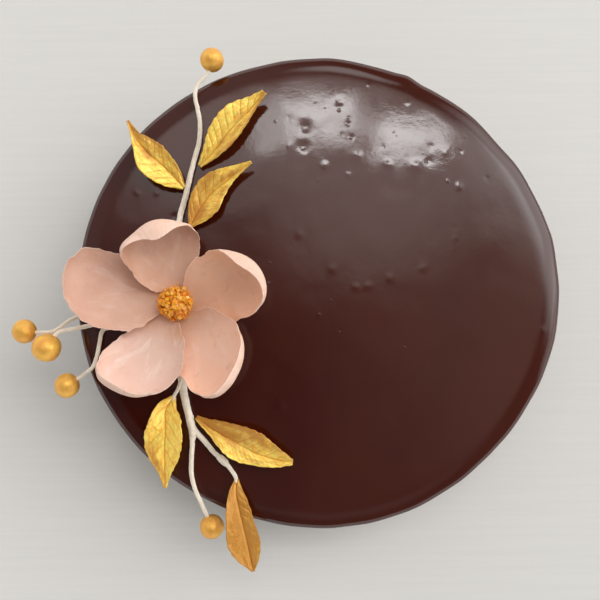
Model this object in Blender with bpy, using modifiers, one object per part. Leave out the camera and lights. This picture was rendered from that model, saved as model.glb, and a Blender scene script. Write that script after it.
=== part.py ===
"""A round chocolate-glazed cake with a spray of sugar work on its left side.

The cake stands on z = 0 with its axis on +Z. One open flower of five cupped
petals sits on the glaze, and wired stems carry six gold leaves and five gold
berries out over the rim. Sizes below are in millimetres and turned into metres
where a shape is made. Points of the spray are x and y from the cake's axis and
the height above the cake's top.
"""
import math
import random
from dataclasses import dataclass

import bmesh
import bpy
from mathutils import Vector

MM = 0.001
GAP = 0.3

# Cake
CAKE_RADIUS = 118.5
CAKE_HEIGHT = 55.0
SHOULDER_REACH = 13.0
SHOULDER_DROP = 11.0
SHOULDER_STEPS = 6
# Rings on the flat top, as shares of its radius.
TOP_RINGS = (0.5, 0.82)
# The side below the shoulder, top to bottom: how far it stands out past the radius, and the height.
SIDE_LINE = ((0.5, 23.0), (0.0, 6.0), (1.2, 1.4), (0.8, 0.0))
CAKE_STEPS = 72
# Unevenness of the outline: waves round the cake, depth, direction of the first crest in degrees.
OUTLINE_WAVES = ((2, 1.4, -7.0), (3, 0.3, 0.0), (4, 0.35, 4.0), (5, 0.3, -2.0))

# Flower
FLOWER_PLACE = (-67.0, -8.0, 7.5)
PETAL_THICKNESS = 1.0
PETAL_DEPTH = 0.52
PETAL_FOOT = 5.0
PETAL_LEAN = 13.0
PETAL_GRID = 12
PETAL_RIPPLE = 0.35
PETAL_RIPPLES = 5
CENTRE_RADIUS = 7.2
CENTRE_HEIGHT = 6.0
CENTRE_LIFT = 2.8
CENTRE_FLAT = 0.45
CENTRE_GRAIN = 0.55
CENTRE_SEED = 7
CALYX_DROP = 1.8
# The calyx from its neck down: radius, and share of its height.
CALYX_LINE = ((2.6, 1.0), (3.1, 0.55), (6.0, 0.12), (6.0, 0.0))
CALYX_STEPS = 20

# Leaves
LEAF_THICKNESS = 0.8
LEAF_ALONG = 14
LEAF_ACROSS = 4
LEAF_STALK = 0.9
LEAF_TIP = 0.5
LEAF_OPENING = 0.25
LEAF_RIPPLE = 0.05
LEAF_RIPPLES = 11
LEAF_RIPPLE_SHIFT = 2

# Berries and wires
BERRY_AROUND = 16
BERRY_RINGS = 10
BERRY_SQUASH = 0.96
WIRE_SPACING = 5.5
WIRE_SIDES = 2
WIRE_FEWEST = 3


@dataclass(frozen=True)
class Petal:
    """One petal: a cup that leans outwards and lies over the petal clockwise of it.

    azimuth is the way the tip points, in degrees. middle is the cup's middle
    from the flower's axis. reach holds the outline's distance from the middle
    every 30 degrees, and arc how far the cup's wall has turned at its rim every
    45 degrees. Both run anticlockwise from the tip, and past 90 degrees of arc
    the rim curls inwards. roll lifts the anticlockwise side.
    """
    name: str
    azimuth: float
    middle: float
    roll: float
    reach: tuple
    arc: tuple


@dataclass(frozen=True)
class Leaf:
    """One leaf: a midrib with its half widths at sixths of the length.

    left and right are seen from the stalk. fold is the angle in degrees that
    each half stands up from the midrib, twist turns the tip about the midrib.
    """
    name: str
    midrib: tuple
    left: tuple
    right: tuple
    fold: float
    twist: float


@dataclass(frozen=True)
class Wire:
    """One taped wire with its thickness at the start and at the end."""
    name: str
    points: tuple
    start: float
    end: float


@dataclass(frozen=True)
class Berry:
    """One sugar ball, a little flatter along its stalk than across it."""
    name: str
    place: tuple
    radius: float
    turn: tuple


PETALS = (
    Petal("petal_left", 167, 27, 9,
          (25.5, 24, 21.5, 19.5, 19.5, 19.5, 22, 16.5, 14.5, 16.5, 20, 25),
          (100, 90, 78, 58, 42, 38, 42, 80)),
    Petal("petal_top", 104, 20.5, 10.5,
          (20, 19.5, 21, 16, 15, 14.5, 15.5, 13.5, 13.5, 17, 21, 19.5),
          (146, 116, 85, 60, 42, 38, 48, 102)),
    Petal("petal_right", 8, 23, 9,
          (23, 24, 22.5, 22, 21.5, 19, 18, 15, 14, 14.5, 13.5, 18),
          (103, 122, 84, 60, 42, 38, 45, 85)),
    Petal("petal_lower_right", -62, 25.5, 9,
          (24.5, 24, 23.5, 22.5, 20, 18.5, 20.5, 16, 14.5, 15, 15, 20),
          (106, 106, 82, 58, 42, 38, 45, 85)),
    Petal("petal_lower_left", -121, 26, 9,
          (23, 23, 22.5, 20, 18, 18, 21, 16, 14.5, 15.5, 18, 23.5),
          (114, 92, 82, 58, 42, 38, 45, 98)),
)

LEAVES = (
    Leaf("leaf_upper_left",
         ((-64.5, 48.5, 4.2), (-74, 58.5, 5.5), (-81, 64.5, 7), (-87, 72, 8), (-90.5, 80, 9.5)),
         (6.4, 8.8, 8.6, 4.6, 1.5), (4.5, 6, 7.3, 5.9, 2.6), 16, 10),
    Leaf("leaf_upper_right",
         ((-57, 59.5, 3), (-49.5, 66.5, 5), (-40, 78, 7), (-30.5, 87, 8), (-25, 93.5, 10)),
         (5, 8.2, 9.1, 8.6, 5.5), (3, 5, 5.4, 4, 1.6), 16, -12),
    Leaf("leaf_middle_right",
         ((-61.5, 29.5, 5), (-53, 43, 6), (-43, 51.5, 7), (-37, 56, 8), (-31.5, 59.5, 10)),
         (4.8, 7.2, 7.8, 6.2, 3), (6.2, 8.2, 6, 2.8, 1.4), 16, 12),
    Leaf("leaf_lower_left",
         ((-68.8, -51.5, 5), (-72.5, -58, 6.5), (-72.5, -67, 7), (-73, -76.5, 6), (-73, -94, 4.5)),
         (6.6, 7.9, 8.5, 7.3, 3.6), (5, 8.4, 9.3, 7.3, 3), 18, 6),
    Leaf("leaf_lower_right",
         ((-58.5, -61.5, 4), (-52.5, -66, 5), (-44, -70.5, 6.5), (-35, -75.5, 7.5), (-27.5, -79, 8),
          (-20, -81, 8.5), (-13, -82, 9.5)),
         (4.5, 7, 9.4, 9.4, 6), (2.6, 6, 7.5, 5.6, 3.8), 16, 8),
    Leaf("leaf_bottom",
         ((-39.7, -90.8, 2.7), (-39.5, -98.5, 4), (-37.5, -108, 4), (-35, -119, 3), (-32, -134.5, 0)),
         (4, 5.3, 5.7, 6.4, 4.7), (4.1, 6.5, 8, 8.8, 6), 15, -8),
)

BERRIES = (
    Berry("berry_top", (-51, 112.5, 2.5), 6.1, (70, 0, 10)),
    Berry("berry_left_1", (-141, -20, 2), 6.0, (0, 75, 0)),
    Berry("berry_left_2", (-128.5, -28, 7), 7.0, (25, 20, 0)),
    Berry("berry_left_3", (-120, -46, 3), 6.1, (20, 50, 0)),
    Berry("berry_bottom", (-52, -114, -3), 6.1, (60, 0, 20)),
)

WIRES = (
    Wire("stem_upper",
         ((-67, -1, 2.2), (-67.5, 16, 2.2), (-67, 32.5, 2.1), (-64, 45, 2), (-61.5, 56, 2),
          (-59.5, 64, 1.8), (-57.5, 71.5, 1.8), (-57, 80.5, 1.7), (-58, 87, 1.5),
          (-59.5, 95, 1.5), (-58.5, 100, 1.5), (-55.5, 103.5, 1.8), (-53, 106.3, 2.1)), 1.65, 0.9),
    Wire("stem_lower",
         ((-67, -15.2, 2.6), (-66.8, -30, 2.6), (-65.5, -43.5, 2.6), (-64.5, -50.5, 2.5),
          (-63, -57.5, 2.4), (-61.5, -63, 2.3), (-60.5, -68.2, 2.3)), 2.05, 1.75),
    Wire("stem_lower_berry",
         ((-61.1, -69.2, 2.2), (-60.6, -74, 2), (-61, -81, 2), (-61, -88, 2), (-59.5, -95, 1.5),
          (-57, -101.5, 0), (-54.4, -108, -1.5)), 1.15, 0.95),
    Wire("stem_lower_leaf",
         ((-58.4, -69.1, 2.3), (-55.5, -72, 2.2), (-50.5, -78, 2.2), (-45.5, -82.5, 2.2),
          (-41.8, -87, 2.2), (-40.1, -89.9, 2.2)), 1.3, 1.0),
    Wire("stalk_leaf_lower_left",
         ((-68.6, -51, 5), (-67, -48, 5.6), (-65.7, -43.5, 6), (-65.5, -38, 6)), 0.8, 0.8),
    Wire("wire_left_1",
         ((-73.6, -6, 1.7), (-95, -9, 1.7), (-114.5, -13, 2), (-121, -16, 2), (-125.5, -19.3, 1.7),
          (-129, -20.5, 1.7), (-134.6, -20.6, 1.8)), 1.1, 0.85),
    Wire("wire_left_2",
         ((-73.2, -10, 1.9), (-95, -14, 3), (-109, -17.5, 3.6), (-116, -19, 4.5), (-122.5, -20.3, 5.6),
          (-124.2, -21.3, 6.1)), 1.2, 0.95),
    Wire("wire_left_3",
         ((-71.6, -13, 1.9), (-94, -18, 2), (-101.5, -18.8, 2.1), (-104, -21, 2.3), (-105.5, -29.5, 2.5),
          (-107.5, -36.5, 2.8), (-110, -39.3, 3), (-114.6, -42.6, 3)), 1.2, 0.85),
)

# Finishes: colour, roughness and metallic value of each kind of piece.
FINISHES = {
    "glaze": ((0.045, 0.016, 0.011), 0.12, 0.0),
    "petal_paste": ((0.72, 0.45, 0.34), 0.75, 0.0),
    "pollen": ((0.75, 0.30, 0.05), 0.7, 0.0),
    "gold_leaf": ((0.83, 0.50, 0.11), 0.38, 0.6),
    "gold_berry": ((0.80, 0.46, 0.11), 0.36, 0.6),
    "tape": ((0.66, 0.58, 0.44), 0.7, 0.0),
}


def metres(point):
    """Turn a point in millimetres into a vector in metres."""
    return Vector(point) * MM


def spray_point(point):
    """Turn a point of the spray, whose height counts from the cake's top, into metres."""
    return metres((point[0], point[1], point[2] + CAKE_HEIGHT))


def smooth_between(before, start, end, after, share):
    """Pass smoothly from start to end, with the neighbours before and after."""
    square = share * share
    cube = square * share
    return 0.5 * (2 * start + (end - before) * share
                  + (2 * before - 5 * start + 4 * end - after) * square
                  + (3 * start - before - 3 * end + after) * cube)


def round_value(values, angle):
    """Read a value at an angle from values that stand evenly round a circle."""
    count = len(values)
    place = (angle / math.tau * count) % count
    first = int(place) % count
    near = [values[(first + step) % count] for step in (-1, 0, 1, 2)]
    return smooth_between(*near, place - int(place))


def line_value(values, share):
    """Read a value, or a point, at a share of the way along values that stand evenly."""
    spans = len(values) - 1
    place = min(max(share, 0.0), 1.0) * spans
    first = min(int(place), spans - 1)
    before = values[first - 1] if first else 2 * values[0] - values[1]
    after = values[first + 2] if first + 2 <= spans else 2 * values[-1] - values[-2]
    return smooth_between(before, values[first], values[first + 1], after, place - first)


def even_route(points, count, samples=240):
    """Return count + 1 points at even distances along a smooth line through the given points."""
    line = [line_value(points, step / samples) for step in range(samples + 1)]
    lengths = [0.0]
    for start, end in zip(line, line[1:]):
        lengths.append(lengths[-1] + (end - start).length)
    route = []
    place = 0
    for step in range(count + 1):
        target = lengths[-1] * step / count
        while place < samples - 1 and lengths[place + 1] < target:
            place += 1
        span = lengths[place + 1] - lengths[place]
        route.append(line[place].lerp(line[place + 1], (target - lengths[place]) / span))
    return route


def clear_scene():
    """Remove every object of the opened scene."""
    for thing in list(bpy.data.objects):
        bpy.data.objects.remove(thing, do_unlink=True)


def make_finish(name):
    """Make the material of one finish."""
    colour, roughness, metallic = FINISHES[name]
    material = bpy.data.materials.new(name)
    material.use_nodes = True
    shader = material.node_tree.nodes["Principled BSDF"]
    shader.inputs["Base Color"].default_value = (*colour, 1.0)
    shader.inputs["Roughness"].default_value = roughness
    shader.inputs["Metallic"].default_value = metallic
    return material


def mesh_of(builder, name):
    """Turn a finished bmesh into a smooth-shaded mesh."""
    mesh = bpy.data.meshes.new(name)
    builder.to_mesh(mesh)
    builder.free()
    mesh.shade_smooth()
    return mesh


def add_piece(name, data, finish, collection, parent=None):
    """Make an object of a mesh or curve, give it its own material and file it."""
    piece = bpy.data.objects.new(name, data)
    material = make_finish(finish)
    material.name = f"{name}_{finish}"
    data.materials.append(material)
    collection.objects.link(piece)
    piece.parent = parent
    return piece


def add_empty(name, place, collection, parent=None):
    """Make an empty that carries other pieces."""
    empty = bpy.data.objects.new(name, None)
    empty.empty_display_size = 10 * MM
    empty.location = place
    empty.parent = parent
    collection.objects.link(empty)
    return empty


def turned_mesh(name, profile, steps):
    """Spin a profile, given from its top point down the outer side, once round Z."""
    builder = bmesh.new()
    corners = [builder.verts.new((radius * MM, 0.0, height * MM)) for radius, height in profile]
    for upper, lower in zip(corners, corners[1:]):
        builder.edges.new((upper, lower))
    outline = bpy.data.objects.new(f"{name}_profile", mesh_of(builder, f"{name}_profile"))
    bpy.context.scene.collection.objects.link(outline)
    screw = outline.modifiers.new("turn", "SCREW")
    screw.axis = "Z"
    screw.angle = math.tau
    screw.steps = steps
    screw.render_steps = steps
    screw.use_merge_vertices = True
    screw.merge_threshold = 0.01 * MM
    graph = bpy.context.evaluated_depsgraph_get()
    mesh = bpy.data.meshes.new_from_object(outline.evaluated_get(graph))
    bpy.data.objects.remove(outline, do_unlink=True)
    mesh.name = name
    mesh.shade_smooth()
    return mesh


def cake_profile():
    """Return the cake's outer line: flat top, rounded shoulder, full side and flat foot."""
    flat = CAKE_RADIUS - SHOULDER_REACH
    line = [(0, CAKE_HEIGHT)]
    line += [(flat * share, CAKE_HEIGHT) for share in TOP_RINGS]
    for step in range(SHOULDER_STEPS + 1):
        angle = math.pi / 2 * step / SHOULDER_STEPS
        line.append((flat + SHOULDER_REACH * math.sin(angle),
                     CAKE_HEIGHT - SHOULDER_DROP * (1 - math.cos(angle))))
    line += [(CAKE_RADIUS + out, height) for out, height in SIDE_LINE]
    line.append((0, 0))
    return line


def outline_swell(angle):
    """Return how far the cake's outline stands out at an angle."""
    return sum(depth * math.cos(waves * (angle - math.radians(crest)))
               for waves, depth, crest in OUTLINE_WAVES)


def add_cake(collection):
    """Add the cake: one solid, a little out of round as the poured glaze left it."""
    mesh = turned_mesh("cake", cake_profile(), CAKE_STEPS)
    for vertex in mesh.vertices:
        angle = math.atan2(vertex.co.y, vertex.co.x)
        share = 1 + outline_swell(angle) / CAKE_RADIUS
        vertex.co.x *= share
        vertex.co.y *= share
    return add_piece("cake", mesh, "glaze", collection)


def petal_point(petal, across, along):
    """Return a petal's point, in millimetres, for a point of a square from -1 to 1.

    The square is spread over a disk first, so the petal's outline is round. The
    flower's axis is at the origin, the tip on +X and the rim up.
    """
    disk_x = along * math.sqrt(1 - across * across / 2)
    disk_y = across * math.sqrt(1 - along * along / 2)
    share = math.hypot(disk_x, disk_y)
    angle = math.atan2(disk_y, disk_x)
    arc = math.radians(round_value(petal.arc, angle))
    reach = round_value(petal.reach, angle) / math.sin(min(arc, math.pi / 2))
    foot_arc = math.radians(round_value(petal.arc, math.pi))
    foot_drop = (petal.middle - PETAL_FOOT) * math.tan(foot_arc / 2) * PETAL_DEPTH
    out = reach * math.sin(arc * share)
    rise = PETAL_DEPTH * reach * (1 - math.cos(arc * share)) - foot_drop
    rise += PETAL_RIPPLE * share ** 3 * math.sin(PETAL_RIPPLES * angle + petal.azimuth)
    return Vector((petal.middle + out * math.cos(angle), out * math.sin(angle), rise))


def add_petal(petal, flower, collection):
    """Add one petal, a thin cupped shell, at its turn round the flower."""
    builder = bmesh.new()
    bmesh.ops.create_grid(builder, x_segments=PETAL_GRID, y_segments=PETAL_GRID, size=1.0)
    for vertex in builder.verts:
        vertex.co = petal_point(petal, vertex.co.y, vertex.co.x) * MM
    bmesh.ops.triangulate(builder, faces=builder.faces)
    piece = add_piece(petal.name, mesh_of(builder, petal.name), "petal_paste", collection, flower)
    turn = (petal.roll, -PETAL_LEAN, petal.azimuth)
    piece.rotation_euler = [math.radians(angle) for angle in turn]
    wall = piece.modifiers.new("wall", "SOLIDIFY")
    wall.thickness = PETAL_THICKNESS * MM
    wall.offset = 0.0
    return piece


def add_flower_centre(flower, collection):
    """Add the grainy yellow centre, a low ball with a flat underside."""
    draw = random.Random(CENTRE_SEED)
    builder = bmesh.new()
    bmesh.ops.create_icosphere(builder, subdivisions=3, radius=1.0)
    for vertex in builder.verts:
        grain = 1 + draw.uniform(-1, 1) * CENTRE_GRAIN / CENTRE_RADIUS
        point = vertex.co * grain
        height = max(point.z, -CENTRE_FLAT) * CENTRE_HEIGHT
        vertex.co = metres((point.x * CENTRE_RADIUS, point.y * CENTRE_RADIUS, height))
    piece = add_piece("flower_centre", mesh_of(builder, "flower_centre"), "pollen", collection, flower)
    piece.location = metres((0, 0, CENTRE_LIFT + CENTRE_FLAT * CENTRE_HEIGHT))
    return piece


def add_calyx(flower, collection):
    """Add the calyx, the small cone of paste that holds the petals off the glaze."""
    height = FLOWER_PLACE[2] - GAP - CALYX_DROP
    side = [(radius, height * share) for radius, share in CALYX_LINE]
    mesh = turned_mesh("calyx", [(0, height), *side, (0, 0)], CALYX_STEPS)
    piece = add_piece("calyx", mesh, "tape", collection, flower)
    piece.location = metres((0, 0, GAP - FLOWER_PLACE[2]))
    return piece


def leaf_half_width(widths, share):
    """Return a leaf's half width at a share of its length."""
    return line_value((LEAF_STALK, *widths, LEAF_TIP), share)


def add_leaf(leaf, collection):
    """Add one leaf, a thin folded blade along its curved midrib."""
    builder = bmesh.new()
    bmesh.ops.create_grid(builder, x_segments=LEAF_ALONG, y_segments=LEAF_ACROSS, size=0.5)
    midrib = even_route([spray_point(point) for point in leaf.midrib], LEAF_ALONG)
    for vertex in builder.verts:
        share = vertex.co.x + 0.5
        side = vertex.co.y * 2
        step = min(round(share * LEAF_ALONG), LEAF_ALONG)
        ahead = midrib[min(step + 1, LEAF_ALONG)] - midrib[max(step - 1, 0)]
        left = Vector((-ahead.y, ahead.x, 0)).normalized()
        width = leaf_half_width(leaf.left if side > 0 else leaf.right, share)
        tilt = math.radians(leaf.twist) * share * side + math.radians(leaf.fold) * abs(side)
        ripple = LEAF_RIPPLE * width * math.sin(LEAF_RIPPLES * share + LEAF_RIPPLE_SHIFT * side)
        rise = width * math.tan(tilt) * min(1, share / LEAF_OPENING) + ripple * abs(side)
        vertex.co = midrib[step] + left * (width * side * MM) + Vector((0, 0, rise * MM))
    bmesh.ops.triangulate(builder, faces=builder.faces)
    piece = add_piece(leaf.name, mesh_of(builder, leaf.name), "gold_leaf", collection)
    blade = piece.modifiers.new("blade", "SOLIDIFY")
    blade.thickness = LEAF_THICKNESS * MM
    blade.offset = 0.0
    return piece


def add_berry(berry, collection):
    """Add one berry, a ball pressed slightly flat along its stalk."""
    builder = bmesh.new()
    bmesh.ops.create_uvsphere(builder, u_segments=BERRY_AROUND, v_segments=BERRY_RINGS,
                              radius=berry.radius * MM)
    bmesh.ops.scale(builder, vec=(1, 1, BERRY_SQUASH), verts=builder.verts)
    piece = add_piece(berry.name, mesh_of(builder, berry.name), "gold_berry", collection)
    piece.location = spray_point(berry.place)
    piece.rotation_euler = [math.radians(angle) for angle in berry.turn]
    return piece


def add_wire(wire, collection):
    """Add one taped wire as a bevelled curve that tapers from its start to its end."""
    route = [spray_point(point) for point in wire.points]
    length = sum((end - start).length for start, end in zip(route, route[1:]))
    count = max(WIRE_FEWEST, round(length / (WIRE_SPACING * MM)))
    curve = bpy.data.curves.new(wire.name, "CURVE")
    curve.dimensions = "3D"
    curve.bevel_depth = wire.start * MM
    curve.bevel_resolution = WIRE_SIDES
    curve.use_fill_caps = True
    spline = curve.splines.new("POLY")
    spline.points.add(count)
    for step, (point, place) in enumerate(zip(spline.points, even_route(route, count))):
        point.co = (*place, 1.0)
        point.radius = 1 + (wire.end / wire.start - 1) * step / count
    return add_piece(wire.name, curve, "tape", collection)


def main():
    """Build the cake, its flower and the spray round it."""
    clear_scene()
    collection = bpy.data.collections.new("sachertorte")
    bpy.context.scene.collection.children.link(collection)
    add_cake(collection)
    flower = add_empty("flower", spray_point(FLOWER_PLACE), collection)
    add_calyx(flower, collection)
    for petal in PETALS:
        add_petal(petal, flower, collection)
    add_flower_centre(flower, collection)
    for leaf in LEAVES:
        add_leaf(leaf, collection)
    for berry in BERRIES:
        add_berry(berry, collection)
    for wire in WIRES:
        add_wire(wire, collection)


main()
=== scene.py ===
"""Looks of a round chocolate-glazed cake with a spray of sugar work on its left side.

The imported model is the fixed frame. Each class below builds the visible surface of one kind
of piece in its own place: the poured glaze, the cupped petals, the grainy flower centre, the
embossed gold leaves, the gold berries and the taped wires. Sizes are in millimetres, and
points of the spray are x and y from the cake's axis and the height above the cake's top.
"""
from __future__ import annotations

import logging
import math
import random
from collections.abc import Callable, Iterable, Sequence
from dataclasses import dataclass, field
from enum import Enum

import bmesh
import bpy
from mathutils import Euler, Matrix, Vector, noise
from mathutils.bvhtree import BVHTree


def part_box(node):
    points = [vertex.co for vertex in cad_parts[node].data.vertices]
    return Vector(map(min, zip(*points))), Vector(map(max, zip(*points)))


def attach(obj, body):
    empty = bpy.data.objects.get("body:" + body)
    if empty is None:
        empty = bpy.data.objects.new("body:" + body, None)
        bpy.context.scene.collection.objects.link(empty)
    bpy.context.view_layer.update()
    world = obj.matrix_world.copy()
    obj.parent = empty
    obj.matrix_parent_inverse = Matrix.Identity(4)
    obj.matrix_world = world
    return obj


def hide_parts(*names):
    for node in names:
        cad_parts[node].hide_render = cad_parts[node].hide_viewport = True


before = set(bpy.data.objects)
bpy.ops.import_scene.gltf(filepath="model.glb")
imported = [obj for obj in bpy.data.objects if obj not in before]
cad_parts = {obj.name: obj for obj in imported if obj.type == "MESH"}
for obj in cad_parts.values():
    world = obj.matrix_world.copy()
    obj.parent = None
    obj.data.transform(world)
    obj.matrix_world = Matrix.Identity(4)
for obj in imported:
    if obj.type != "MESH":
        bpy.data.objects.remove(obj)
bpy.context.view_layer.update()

MM = 0.001
BODY = "root"
CAKE_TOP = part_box("cake")[1].z / MM
LOG = logging.getLogger("cake")

BMesh = bmesh.types.BMesh
Material = bpy.types.Material
Node = bpy.types.Node
Socket = bpy.types.NodeSocket
Numbers = tuple[float, ...]
Colour = tuple[float, float, float]
Value = float | Vector
Feed = float | Sequence[float] | Socket


class Slot(Enum):
    """The record's material slots."""
    GLAZE = "glaze"
    PETAL = "petal_paste"
    POLLEN = "pollen"
    LEAF = "gold_leaf"
    BERRY = "gold_berry"
    TAPE = "tape"


# Values along lines and round circles

def smooth_between(before: Value, start: Value, end: Value, after: Value, share: float) -> Value:
    """Pass smoothly from start to end.

    Args:
        before: The value ahead of start.
        start: The value at share 0.
        end: The value at share 1.
        after: The value behind end.
        share: How far along, from 0 to 1.

    Returns:
        The value there, of the same kind as the four given.
    """
    square = share * share
    cube = square * share
    return 0.5 * (2 * start + (end - before) * share
                  + (2 * before - 5 * start + 4 * end - after) * square
                  + (3 * start - before - 3 * end + after) * cube)


def round_value(values: Numbers, angle: float) -> float:
    """Read a value at an angle from values that stand evenly round a circle.

    Args:
        values: The values, anticlockwise from angle 0.
        angle: The angle in radians.

    Returns:
        The value at that angle.
    """
    count = len(values)
    place = (angle / math.tau * count) % count
    first = int(place) % count
    near = [values[(first + step) % count] for step in (-1, 0, 1, 2)]
    return smooth_between(*near, place - int(place))


def line_value(values: Sequence[Value], share: float) -> Value:
    """Read a value, or a point, at a share of the way along evenly spaced values.

    Args:
        values: Numbers or vectors.
        share: How far along, from 0 to 1.

    Returns:
        The number or vector there.
    """
    spans = len(values) - 1
    place = min(max(share, 0.0), 1.0) * spans
    first = min(int(place), spans - 1)
    before = values[first - 1] if first else 2 * values[0] - values[1]
    after = values[first + 2] if first + 2 <= spans else 2 * values[-1] - values[-2]
    return smooth_between(before, values[first], values[first + 1], after, place - first)


def even_route(points: Sequence[Vector], count: int) -> list[Vector]:
    """Space points evenly along a smooth line.

    Args:
        points: The points that the line passes through.
        count: How many spans of equal length.

    Returns:
        The count + 1 points.
    """
    samples = 12 * count
    line = [line_value(points, step / samples) for step in range(samples + 1)]
    lengths = run_lengths(line)
    route = []
    place = 0
    for step in range(count + 1):
        target = lengths[-1] * step / count
        while place < samples - 1 and lengths[place + 1] < target:
            place += 1
        span = lengths[place + 1] - lengths[place]
        route.append(line[place].lerp(line[place + 1], (target - lengths[place]) / span))
    return route


def run_lengths(points: Sequence[Vector]) -> list[float]:
    """Measure along a line.

    Args:
        points: Points of the line, in metres.

    Returns:
        The length in millimetres from the first point to each.
    """
    lengths = [0.0]
    for start, end in zip(points, points[1:]):
        lengths.append(lengths[-1] + (end - start).length / MM)
    return lengths


def soft_noise(x: float, y: float, z: float) -> float:
    """Return soft noise at a place, from about -1 to 1."""
    return noise.noise(Vector((x, y, z)))


def turn_between(angle: float, middle: float) -> float:
    """Return how far an angle in radians lies from one in degrees, in degrees either way."""
    return (math.degrees(angle) - middle + 180) % 360 - 180


def hump(distance: float, width: float) -> float:
    """Return 1 at distance 0, falling off smoothly over the width."""
    return math.exp(-(distance / width) ** 2)


def fade(value: float, low: float, high: float) -> float:
    """Return a smooth step that is 0 up to low and 1 from high on."""
    share = min(max((value - low) / (high - low), 0.0), 1.0)
    return share * share * (3 - 2 * share)


def spray_point(point: Numbers) -> Vector:
    """Return a point of the spray, in metres."""
    return Vector((point[0], point[1], point[2] + CAKE_TOP)) * MM


# Meshes

def plain_chart(u: float, v: float) -> tuple[float, float]:
    """Return the map's point for a grid's point, here the same."""
    return u, v


def disk_chart(u: float, v: float) -> tuple[float, float]:
    """Pull a grid's point onto a disk that fills the map.

    Args:
        u: Share along the grid.
        v: Share across it.

    Returns:
        The map's point.
    """
    along = 2 * u - 1
    across = 2 * v - 1
    return (0.5 + 0.5 * along * math.sqrt(1 - across * across / 2),
            0.5 + 0.5 * across * math.sqrt(1 - along * along / 2))


def laid_grid(builder: BMesh, columns: int, rows: int,
              place: Callable[[float, float], Vector],
              chart: Callable[[float, float], tuple[float, float]] = plain_chart,
              ) -> list[bmesh.types.BMVert]:
    """Lay a grid with its own UV map over a surface.

    Args:
        builder: The mesh to add to.
        columns: Cells along u.
        rows: Cells along v.
        place: Gives the point, in metres, for the map's point.
        chart: Gives the map's point for u and v from 0 to 1.

    Returns:
        The new vertices.
    """
    made = bmesh.ops.create_grid(builder, x_segments=columns, y_segments=rows, size=0.5)
    corners = made["verts"]
    layer = builder.loops.layers.uv.verify()
    faces = {face for vertex in corners for face in vertex.link_faces}
    for face in faces:
        for loop in face.loops:
            loop[layer].uv = chart(loop.vert.co.x + 0.5, loop.vert.co.y + 0.5)
    for vertex in corners:
        vertex.co = place(*chart(vertex.co.x + 0.5, vertex.co.y + 0.5))
    return corners


def laid_tube(builder: BMesh, route: Sequence[Vector], around: int,
              radius: Callable[[float, float], float]) -> None:
    """Lay a closed tube along a route, with capped ends.

    Args:
        builder: The mesh to add to.
        route: Points of the middle line, in metres.
        around: Sides round the tube.
        radius: Gives the radius in millimetres for the length run so far, in
            millimetres, and the angle round the tube.
    """
    last = len(route) - 1
    runs = run_lengths(route)

    def place(u: float, v: float) -> Vector:
        """Place a point of the tube.

        Args:
            u: Share along the route.
            v: Share of the turn round it.

        Returns:
            The point in metres.
        """
        step = min(round(u * last), last)
        ahead = (route[min(step + 1, last)] - route[max(step - 1, 0)]).normalized()
        side = ahead.cross(Vector((0, 0, 1))).normalized()
        rise = side.cross(ahead)
        angle = math.tau * (v % 1.0)
        reach = radius(runs[step], angle) * MM
        return route[step] + (side * math.cos(angle) + rise * math.sin(angle)) * reach

    corners = laid_grid(builder, last, around, place)
    bmesh.ops.remove_doubles(builder, verts=corners, dist=0.001 * MM)
    edges = [edge for edge in builder.edges if edge.is_boundary]
    bmesh.ops.holes_fill(builder, edges=edges, sides=0)


def add_object(name: str, data: bpy.types.ID) -> bpy.types.Object:
    """Put a new object into the scene.

    Args:
        name: Its name.
        data: Its mesh, lamp or camera.

    Returns:
        The new object.
    """
    made = bpy.data.objects.new(name, data)
    bpy.context.scene.collection.objects.link(made)
    return made


@dataclass(frozen=True)
class Bench:
    """Turns finished meshes into pieces that ride with the cake."""
    body: str = BODY

    def place(self, name: str, builder: BMesh, material: Material,
              slot: Slot, nodes: Iterable[str] = (), smooth: bool = True) -> bpy.types.Object:
        """Make a piece of a mesh.

        Args:
            name: The piece's name.
            builder: The finished mesh, which is used up.
            material: Its finish.
            slot: The record's slot for that finish; not used.
            nodes: The plain solids that the piece stands for.
            smooth: Whether its faces blend into each other.

        Returns:
            The new object, which rides with the cake.
        """
        bmesh.ops.recalc_face_normals(builder, faces=builder.faces)
        mesh = bpy.data.meshes.new(name)
        builder.to_mesh(mesh)
        builder.free()
        if smooth:
            mesh.shade_smooth()
        mesh.materials.append(material)
        piece = add_object(name, mesh)
        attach(piece, self.body)
        if nodes:
            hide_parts(*nodes)
        LOG.info("%s: %d faces", name, len(mesh.polygons))
        return piece

    def wall(self, piece: bpy.types.Object, thickness: float, rounds: int,
             rim: float = 1.0) -> None:
        """Give an open piece its thickness and round its edges.

        Args:
            piece: The piece, an open surface whose map is a disk where the rim is thinner.
            thickness: The wall in millimetres, spread to both sides.
            rounds: Levels of subdivision that follow.
            rim: The wall at the rim as a share of the thickness.
        """
        shell = piece.modifiers.new("wall", "SOLIDIFY")
        shell.thickness = thickness * MM
        shell.offset = 0.0
        shell.material_offset = len(piece.data.materials) - 1
        if rim < 1:
            group = piece.vertex_groups.new(name="wall")
            mesh = piece.data
            for loop, corner in zip(mesh.loops, mesh.uv_layers[0].data):
                edge = math.hypot(2 * corner.uv.x - 1, 2 * corner.uv.y - 1)
                group.add([loop.vertex_index], 1 - fade(edge, 0.8, 1.0), "REPLACE")
            shell.vertex_group = group.name
            shell.thickness_vertex_group = rim
        if rounds:
            soft = piece.modifiers.new("soft", "SUBSURF")
            soft.levels = rounds
            soft.render_levels = rounds


# Shader boards and shared effects

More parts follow.
